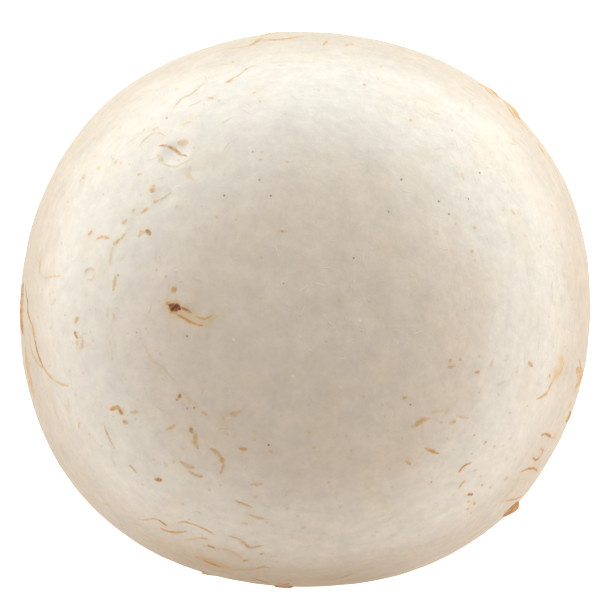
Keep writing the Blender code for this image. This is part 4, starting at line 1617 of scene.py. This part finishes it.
@dataclass
class Gills:
    """Thin gills of three lengths that hang from the cap's ceiling all round, repeated by Geometry Nodes."""

    top: tuple[Place, ...] = ((16.4, 18.15), (17.6, 17.0), (18.2, 15.3), (17.8, 14.2))
    edge: tuple[Place, ...] = ((14.2, 13.4), (16.8, 13.6), (17.8, 14.2))
    # Where each gill of one group starts, beside the stem or further out, and its turn in degrees
    starts: tuple[tuple[float, float], ...] = ((10.8, 0.0), (14.6, 1.5), (12.7, 3.0), (14.9, 4.5))
    groups: int = 60
    stations: int = 12
    root_thickness: float = 0.26 * MM
    edge_thickness: float = 0.11 * MM
    edge_starts: float = 0.97  # of a blade's depth, below which it is rounded off
    wave: float = 0.9 * MM
    wave_scale: float = 330.0
    turn_wobble: float = 0.006
    lean: float = 0.012

    def _blade(self, start: float) -> np.ndarray:
        """One gill along X, as closed sections from the stem's side to the margin's.

        Args:
            start: the radius where it starts, in millimetres.

        Returns:
            A (sections, 5, 3) array of points, in metres.
        """
        ceiling = 19.3 - 0.035 * (start - 10.8) ** 1.6
        upper = smooth_path([(start, ceiling), (start * 0.5 + 8.2, 18.4 + 0.3), *self.top], self.stations)
        lower = smooth_path([(start, ceiling), (start + 0.5, 14.9), *self.edge], self.stations)
        half_root, half_edge = self.root_thickness / 2, self.edge_thickness / 2
        rings = np.zeros((self.stations, 5, 3))
        corners = (
            (0.0, half_root),
            (0.0, -half_root),
            (self.edge_starts, -half_edge),
            (1.0, 0.0),
            (self.edge_starts, half_edge),
        )
        for column, (share, side) in enumerate(corners):
            line = (upper + (lower - upper) * share) * MM
            rings[:, column] = np.column_stack([line[:, 0], np.full(self.stations, side), line[:, 1]])
        return rings

    def build(self, material: bpy.types.Material) -> bpy.types.Object:
        """Make the gills.

        Args:
            material: their finish.

        Returns:
            All gills as one object.
        """
        points, faces = [], []
        for start, degrees in self.starts:
            rings = self._blade(start)
            turn = math.radians(degrees)
            along, across = math.cos(turn), math.sin(turn)
            spun = np.array([[along, across, 0.0], [-across, along, 0.0], [0.0, 0.0, 1.0]])
            kept, own_faces = ring_faces(rings.shape[0], rings.shape[1], True, True)
            faces += [[corner + sum(map(len, points)) for corner in face] for face in own_faces]
            points.append(rings.reshape(-1, 3)[kept] @ spun)
        made = new_piece("gill_lamellae", np.vstack(points), faces)
        values = {"Count": self.groups, "Turn Wobble": self.turn_wobble, "Lean": self.lean}
        values |= {"Wave Height": self.wave, "Wave Scale": self.wave_scale}
        run_nodes(made, repeat_round_tree(), values | {"Seed": Seed.GILLS.value, "Material": material})
        placed = mesh_points(made.data)
        free = 1.0 - smooth_step(13.6 * MM, 16.0 * MM, placed[:, 2])
        set_attribute(made.data, "dried", "FLOAT", 0.75 * free)
        return made


@dataclass
class Stem:
    """The stem with its lengthwise fibrils and its cut foot."""

    side: tuple[Place, ...] = (
        (10.3 * MM, 17.6 * MM),
        (9.6 * MM, 15.2 * MM),
        (9.1 * MM, 12.2 * MM),
        (9.0 * MM, 8.6 * MM),
        (9.2 * MM, 4.6 * MM),
        (9.5 * MM, 1.6 * MM),
        (9.42 * MM, 0.55 * MM),
    )
    head: Place = (10.8 * MM, 19.3 * MM)  # sunk in the cap
    middle_height: float = 0.01
    oval: float = 0.03
    foot_edge: float = 0.42 * MM
    columns: int = 260
    side_rows: int = 84
    foot_rows: int = 24
    fibril: float = 0.09 * MM
    swell: float = 0.16 * MM
    pit: float = 0.18 * MM  # of the cut flesh

    def radius_at(self, height: float) -> float:
        """The stem's mean radius at a height."""
        line = smooth_path(self.side, 200)
        return float(np.interp(height, line[::-1, 1], line[::-1, 0]))

    def build(self) -> bpy.types.Object:
        """Make the stem with the attributes that say where it is cut and dried.

        Returns:
            The stem's object.
        """
        side = smooth_path([self.head, *self.side], self.side_rows)
        turn = np.linspace(0.0, math.pi / 2, 6)[1:]
        edge_middle = side[-1, 0] - self.foot_edge
        edge_radius = edge_middle + self.foot_edge * np.cos(turn)
        edge = np.stack([edge_radius, side[-1, 1] * (1.0 - np.sin(turn))], axis=1)
        foot_radius = np.linspace(edge_middle, 0.0, self.foot_rows)[1:]
        foot = np.stack([foot_radius, np.zeros_like(foot_radius)], axis=1)
        rows = np.vstack([[[0.0, self.head[1]]], side, edge, foot])
        angles = np.arange(self.columns) * FULL_TURN / self.columns
        wide, deep = 1.0 + self.oval, 1.0 - self.oval
        heights = np.repeat(rows[:, 1:], self.columns, axis=1)
        x = rows[:, :1] * wide * np.cos(angles)
        y = rows[:, :1] * deep * np.sin(angles)
        rings = np.stack([x, y, heights], axis=2)
        stem = ring_piece("stem_body", rings, True, True)
        points = mesh_points(stem.data)
        height = points[:, 2].copy()
        radius = np.linalg.norm(points[:, :2] / (wide, deep), axis=1)
        share_out = radius / self.radius_at(self.middle_height)
        on_side = smooth_step(0.1 * MM, 1.2 * MM, height) * smooth_step(0.5, 0.9, share_out)
        along = points * (1.0, 1.0, 0.07)
        relief = self.fibril * layered_noise(along, 0.8 * MM, 2, Seed.STEM_FIBRIL)
        relief += self.swell * layered_noise(points, 5.0 * MM, 2, Seed.STEM_SWELL)
        grooves = layered_noise(points * (1.0, 1.0, 0.3), 1.6 * MM, 2, Seed.STEM_GROOVE)
        relief -= 0.5 * self.fibril * smooth_step(0.75, 1.0, grooves)
        outward = mesh_normals(stem.data)
        points += outward * (relief * on_side)[:, None]
        cut = (1.0 - smooth_step(0.0, 0.25 * MM, height)) * smooth_step(0.0, 0.6 * MM, edge_middle - radius)
        rough = np.abs(layered_noise(points, 1.1 * MM, 3, Seed.FOOT_FINE))
        rough += 0.5 * np.abs(layered_noise(points, 4.0 * MM, 2, Seed.FOOT_BROAD))
        points[:, 2] += cut * self.pit * rough
        points[:, 2] = points[:, 2].clip(0.0)
        set_points(stem.data, points)
        set_attribute(stem.data, "cut", "FLOAT", 1.0 - smooth_step(0.0, 0.25 * MM, height))
        creep = height + 1.2 * MM * layered_noise(points, 3.0 * MM, 2, Seed.FOOT_CREEP)
        from_foot = 1.0 - smooth_step(0.2 * MM, 3.4 * MM, creep)
        on_rim = smooth_step(0.80, 1.0, radius / edge_middle)
        bruises = layered_noise(points * (1.0, 1.0, 0.5), 3.5 * MM, 3, Seed.STEM_BRUISE)
        bruise = smooth_step(0.7, 1.2, bruises) * 0.6
        dried = np.maximum(np.where(height < 0.3 * MM, 0.25 + 0.6 * on_rim, 0.85 * from_foot), bruise)
        set_attribute(stem.data, "dried", "FLOAT", dried)
        return stem


@dataclass
class Veil:
    """The torn veil: a thin wrinkled skirt on the stem with a ragged edge."""

    stem: Stem
    root_height: float = 9.7 * MM
    sag: Place = (11.9 * MM, 9.2 * MM)
    edge: Place = (14.8 * MM, 10.5 * MM)
    root_thickness: float = 0.34 * MM
    edge_thickness: float = 0.13 * MM
    columns: int = 720
    rows: int = 22
    tear_middle: float = math.radians(-60)
    tear_half_width: float = math.radians(70)
    tear_depth: float = 2.0 * MM
    # Waves, size and phase
    rags: tuple[tuple[int, float, float], ...] = (
        (5, 0.45 * MM, 0.4),
        (11, 0.30 * MM, 1.7),
        (17, 0.18 * MM, 2.9),
    )
    fray: float = 0.35 * MM
    wrinkle: float = 0.22 * MM
    noise_radius: float = 14.0 * MM  # of the circle that the noise round the veil is read from

    def _tear(self, angle: np.ndarray) -> np.ndarray:
        """How far the torn edge stands back from the margin at each angle."""
        away = np.abs((angle - self.tear_middle + math.pi) % FULL_TURN - math.pi)
        back = sum(size * (1.0 + np.sin(waves * angle + phase)) for waves, size, phase in self.rags)
        return back + self.tear_depth * (1.0 - smooth_step(0.0, self.tear_half_width, away))

    def build(self) -> bpy.types.Object:
        """Make the veil with the attribute that says how dried its edge is.

        Returns:
            The veil's object.
        """
        angles = np.arange(self.columns) * FULL_TURN / self.columns
        flat = np.stack([np.cos(angles), np.sin(angles)], axis=1)
        level = np.zeros(self.columns)
        round_path = np.column_stack([self.noise_radius * flat, level])
        fray = self.fray * layered_noise(round_path, 0.9 * MM, 3, Seed.VEIL_FRAY) - 0.1 * MM
        root = self.stem.radius_at(self.root_height) - 0.3 * MM
        profile = smooth_path([(root, self.root_height + 0.5 * MM), self.sag, self.edge], self.rows)
        share = ((profile[:, 0] - root) / (self.edge[0] - root)).clip(0.0, 1.0)[:, None]
        out = profile[:, :1] - (self._tear(angles)[None] - fray[None]) * share**1.3
        oval = 1.0 + (1.0 - share[..., None]) * self.stem.oval * np.array([1.0, -1.0])
        plane = out[..., None] * flat[None] * oval
        folds = layered_noise(round_path, 1.5 * MM, 2, Seed.VEIL_FOLD)[None] * share
        spots = [np.column_stack([row, level]) for row in plane]
        patches = np.stack([layered_noise(spot, 1.1 * MM, 2, Seed.VEIL_PATCH) for spot in spots])
        height = profile[:, 1:] + self.wrinkle * folds + 0.05 * MM * patches * smooth_step(0.0, 0.3, share)
        droop = smooth_step(0.2, 1.2, layered_noise(round_path, 4.0 * MM, 2, Seed.VEIL_DROOP))[None]
        height -= 0.5 * MM * share**3 * droop
        thick = self.root_thickness + (self.edge_thickness - self.root_thickness) * share
        upper = np.concatenate([plane, (height + thick / 2)[..., None]], axis=2)
        under = np.concatenate([plane, (height - thick / 2)[..., None]], axis=2)[::-1]
        veil = ring_piece("veil_skirt", np.concatenate([upper, under]), False, False)
        edge_share = np.broadcast_to(share, out.shape)
        dried = np.concatenate([edge_share, edge_share[::-1]]) ** 4
        set_attribute(veil.data, "dried", "FLOAT", dried.ravel())
        return veil


# ---------------------------------------------------------------------------------------------
# Studio
# ---------------------------------------------------------------------------------------------


class Tone(Enum):
    """The colour of a light."""

    COOL = (0.93, 0.97, 1.00)
    NEUTRAL = (0.98, 0.98, 1.00)
    WARM = (1.00, 0.80, 0.65)


@dataclass(frozen=True)
class SoftBox:
    """A round soft light that faces the mushroom."""

    name: str
    azimuth: float  # degrees from +X towards +Y
    elevation: float  # degrees above the floor
    watts: float
    tone: Tone
    distance: float = 0.6
    size: float = 0.35

    def build(self, aim: Vector) -> None:
        """Add the light.

        Args:
            aim: the point that it faces.
        """
        data = bpy.data.lights.new(self.name, "AREA")
        data.shape = "DISK"
        data.size = self.size
        data.energy = self.watts
        data.color = self.tone.value
        light = bpy.data.objects.new(self.name, data)
        turn, rise = math.radians(self.azimuth), math.radians(self.elevation)
        out = Vector((math.cos(turn) * math.cos(rise), math.sin(turn) * math.cos(rise), math.sin(rise)))
        light.location = aim + out * self.distance
        light.rotation_mode = "QUATERNION"
        light.rotation_quaternion = out.to_track_quat("Z", "Y")
        light.visible_camera = False
        bpy.context.scene.collection.objects.link(light)


@dataclass
class Studio:
    """A pale floor, soft lights and the camera straight above the cap."""

    form: CapForm
    view_width: float = 53.95 * MM  # at the cap's widest level
    aside: Place = (0.09 * MM, 0.35 * MM)
    sensor: float = 36.0
    floor_radius: float = 3.0
    floor_sides: int = 96
    floor_drop: float = 0.05 * MM
    # Low lights all round make the shoulders bright, and one light overhead fills the crown
    soft_boxes: tuple[SoftBox, ...] = (
        SoftBox("left", 180.0, 5.0, 2.2, Tone.NEUTRAL),
        SoftBox("right", 0.0, 5.0, 3.2, Tone.NEUTRAL),
        SoftBox("top", 90.0, 5.0, 3.5, Tone.COOL),
        SoftBox("lower_right", -45.0, 5.0, 1.0, Tone.WARM),
        SoftBox("bottom", -90.0, 5.0, 0.5, Tone.NEUTRAL),
        SoftBox("lower_left", -135.0, 5.0, 0.8, Tone.WARM),
        SoftBox("overhead", 135.0, 70.0, 1.4, Tone.NEUTRAL),
    )

    def build(self) -> None:
        """Add the floor, the lights, the surroundings and the camera."""
        self._floor()
        self._surroundings()
        aim = Vector((0.0, 0.0, self.form.widest_level))
        for soft_box in self.soft_boxes:
            soft_box.build(aim)
        self._camera()

    def _floor(self) -> None:
        """A round pale floor that looks white, as a light table does, and lights the mushroom a little."""
        turns = np.arange(self.floor_sides) * FULL_TURN / self.floor_sides
        rim = np.stack([np.cos(turns), np.sin(turns), np.zeros(self.floor_sides)], axis=1) * self.floor_radius
        floor = new_piece("floor", rim - (0.0, 0.0, self.floor_drop), [list(range(self.floor_sides))])
        material = bpy.data.materials.new("pale_floor")
        material.use_nodes = True
        graph = Graph(material.node_tree)
        shader = material.node_tree.nodes["Principled BSDF"]
        shader.inputs["Base Color"].default_value = (0.86, 0.86, 0.86, 1.0)
        shader.inputs["Roughness"].default_value = 0.9
        shader.inputs["Specular IOR Level"].default_value = 0.0
        shader.inputs["Emission Color"].default_value = (1.0, 1.0, 1.0, 1.0)
        seen = graph.node("ShaderNodeLightPath").outputs["Is Camera Ray"]
        graph.tree.links.new(graph.ramp(seen, 0.0, 1.0, 0.15, 0.92), shader.inputs["Emission Strength"])
        floor.data.materials.append(material)

    def _surroundings(self) -> None:
        """A plain pale world: white behind the object, and dim as a light."""
        world = bpy.data.worlds.new("studio")
        world.use_nodes = True
        graph = Graph(world.node_tree)
        background = world.node_tree.nodes["Background"]
        background.inputs["Color"].default_value = (1.0, 1.0, 1.0, 1.0)
        seen = graph.node("ShaderNodeLightPath").outputs["Is Camera Ray"]
        graph.tree.links.new(graph.ramp(seen, 0.0, 1.0, 0.05, 1.0), background.inputs["Strength"])
        bpy.context.scene.world = world

    def _camera(self) -> None:
        """The camera looks straight down, with +Y up in its view."""
        data = bpy.data.cameras.new("camera")
        data.sensor_width = self.sensor
        data.lens = self.sensor * self.form.eye_height / self.view_width
        camera = bpy.data.objects.new("camera", data)
        camera.location = (*self.aside, self.form.widest_level + self.form.eye_height)
        bpy.context.scene.collection.objects.link(camera)
        bpy.context.scene.camera = camera
        settings = bpy.context.scene.view_settings
        settings.view_transform = "Standard"
        settings.look = "None"


def main() -> None:
    """Build the studio and the mushroom, piece by piece."""
    logging.basicConfig(level=logging.INFO, format="%(name)s %(message)s")
    form = CapForm()
    Studio(form).build()
    effects = Effects()
    shared = {"colour": (0.82, 0.75, 0.645), "warm": (0.82, 0.715, 0.555), "cool": (0.80, 0.755, 0.625)}
    shared |= {"fibre_stretch": (420.0, 420.0, 1500.0), "mottle": 0.42, "bleed": 0.5 * MM}
    skin = Skin("cap_skin", subsurface=0.15, **shared).material(effects)
    marked_skin = MarkedSkin("marked_skin", subsurface=0.0, shine=0.02, **shared).material(effects)
    fibre_skin = Skin("fibre_skin", subsurface=0.0, **shared).material(effects)
    gill_flesh = Flesh(
        "gill_flesh",
        colour=(0.60, 0.40, 0.31),
        warm=(0.55, 0.34, 0.25),
        cool=(0.52, 0.37, 0.31),
        dried=(0.36, 0.20, 0.14),
        edge_attribute="dried",
        edge_amount=0.6,
    ).material(effects)
    veil_skin = Flesh(
        "veil_skin",
        colour=(0.83, 0.74, 0.60),
        warm=(0.80, 0.67, 0.49),
        cool=(0.79, 0.73, 0.60),
        dried=(0.55, 0.36, 0.20),
        edge_attribute="dried",
    ).material(effects)
    stem_flesh = CutFlesh(
        "stem_flesh",
        colour=(0.74, 0.66, 0.54),
        warm=(0.72, 0.60, 0.45),
        cool=(0.70, 0.65, 0.55),
        dried=(0.50, 0.33, 0.18),
        fibre_stretch=(900.0, 900.0, 120.0),
        fibre_colour=0.16,
        edge_attribute="dried",
        edge_amount=0.7,
    ).material(effects)

    marks = CapMarks(form)
    tint = SkinTintAndPaintedLight(form, marks)
    cap = Cap(form, tint).build()
    finish_piece(cap, skin, ["cap"])
    finish_piece(SkinScales(marks, tint).build(cap), marked_skin)
    finish_piece(SkinFibres(tint).build(cap, form, fibre_skin), fibre_skin)
    finish_piece(Gills().build(gill_flesh), gill_flesh, ["gills"])
    stem = Stem()
    finish_piece(stem.build(), stem_flesh, ["stem"])
    finish_piece(Veil(stem).build(), veil_skin, ["veil"])


if __name__ == "__main__":
    main()
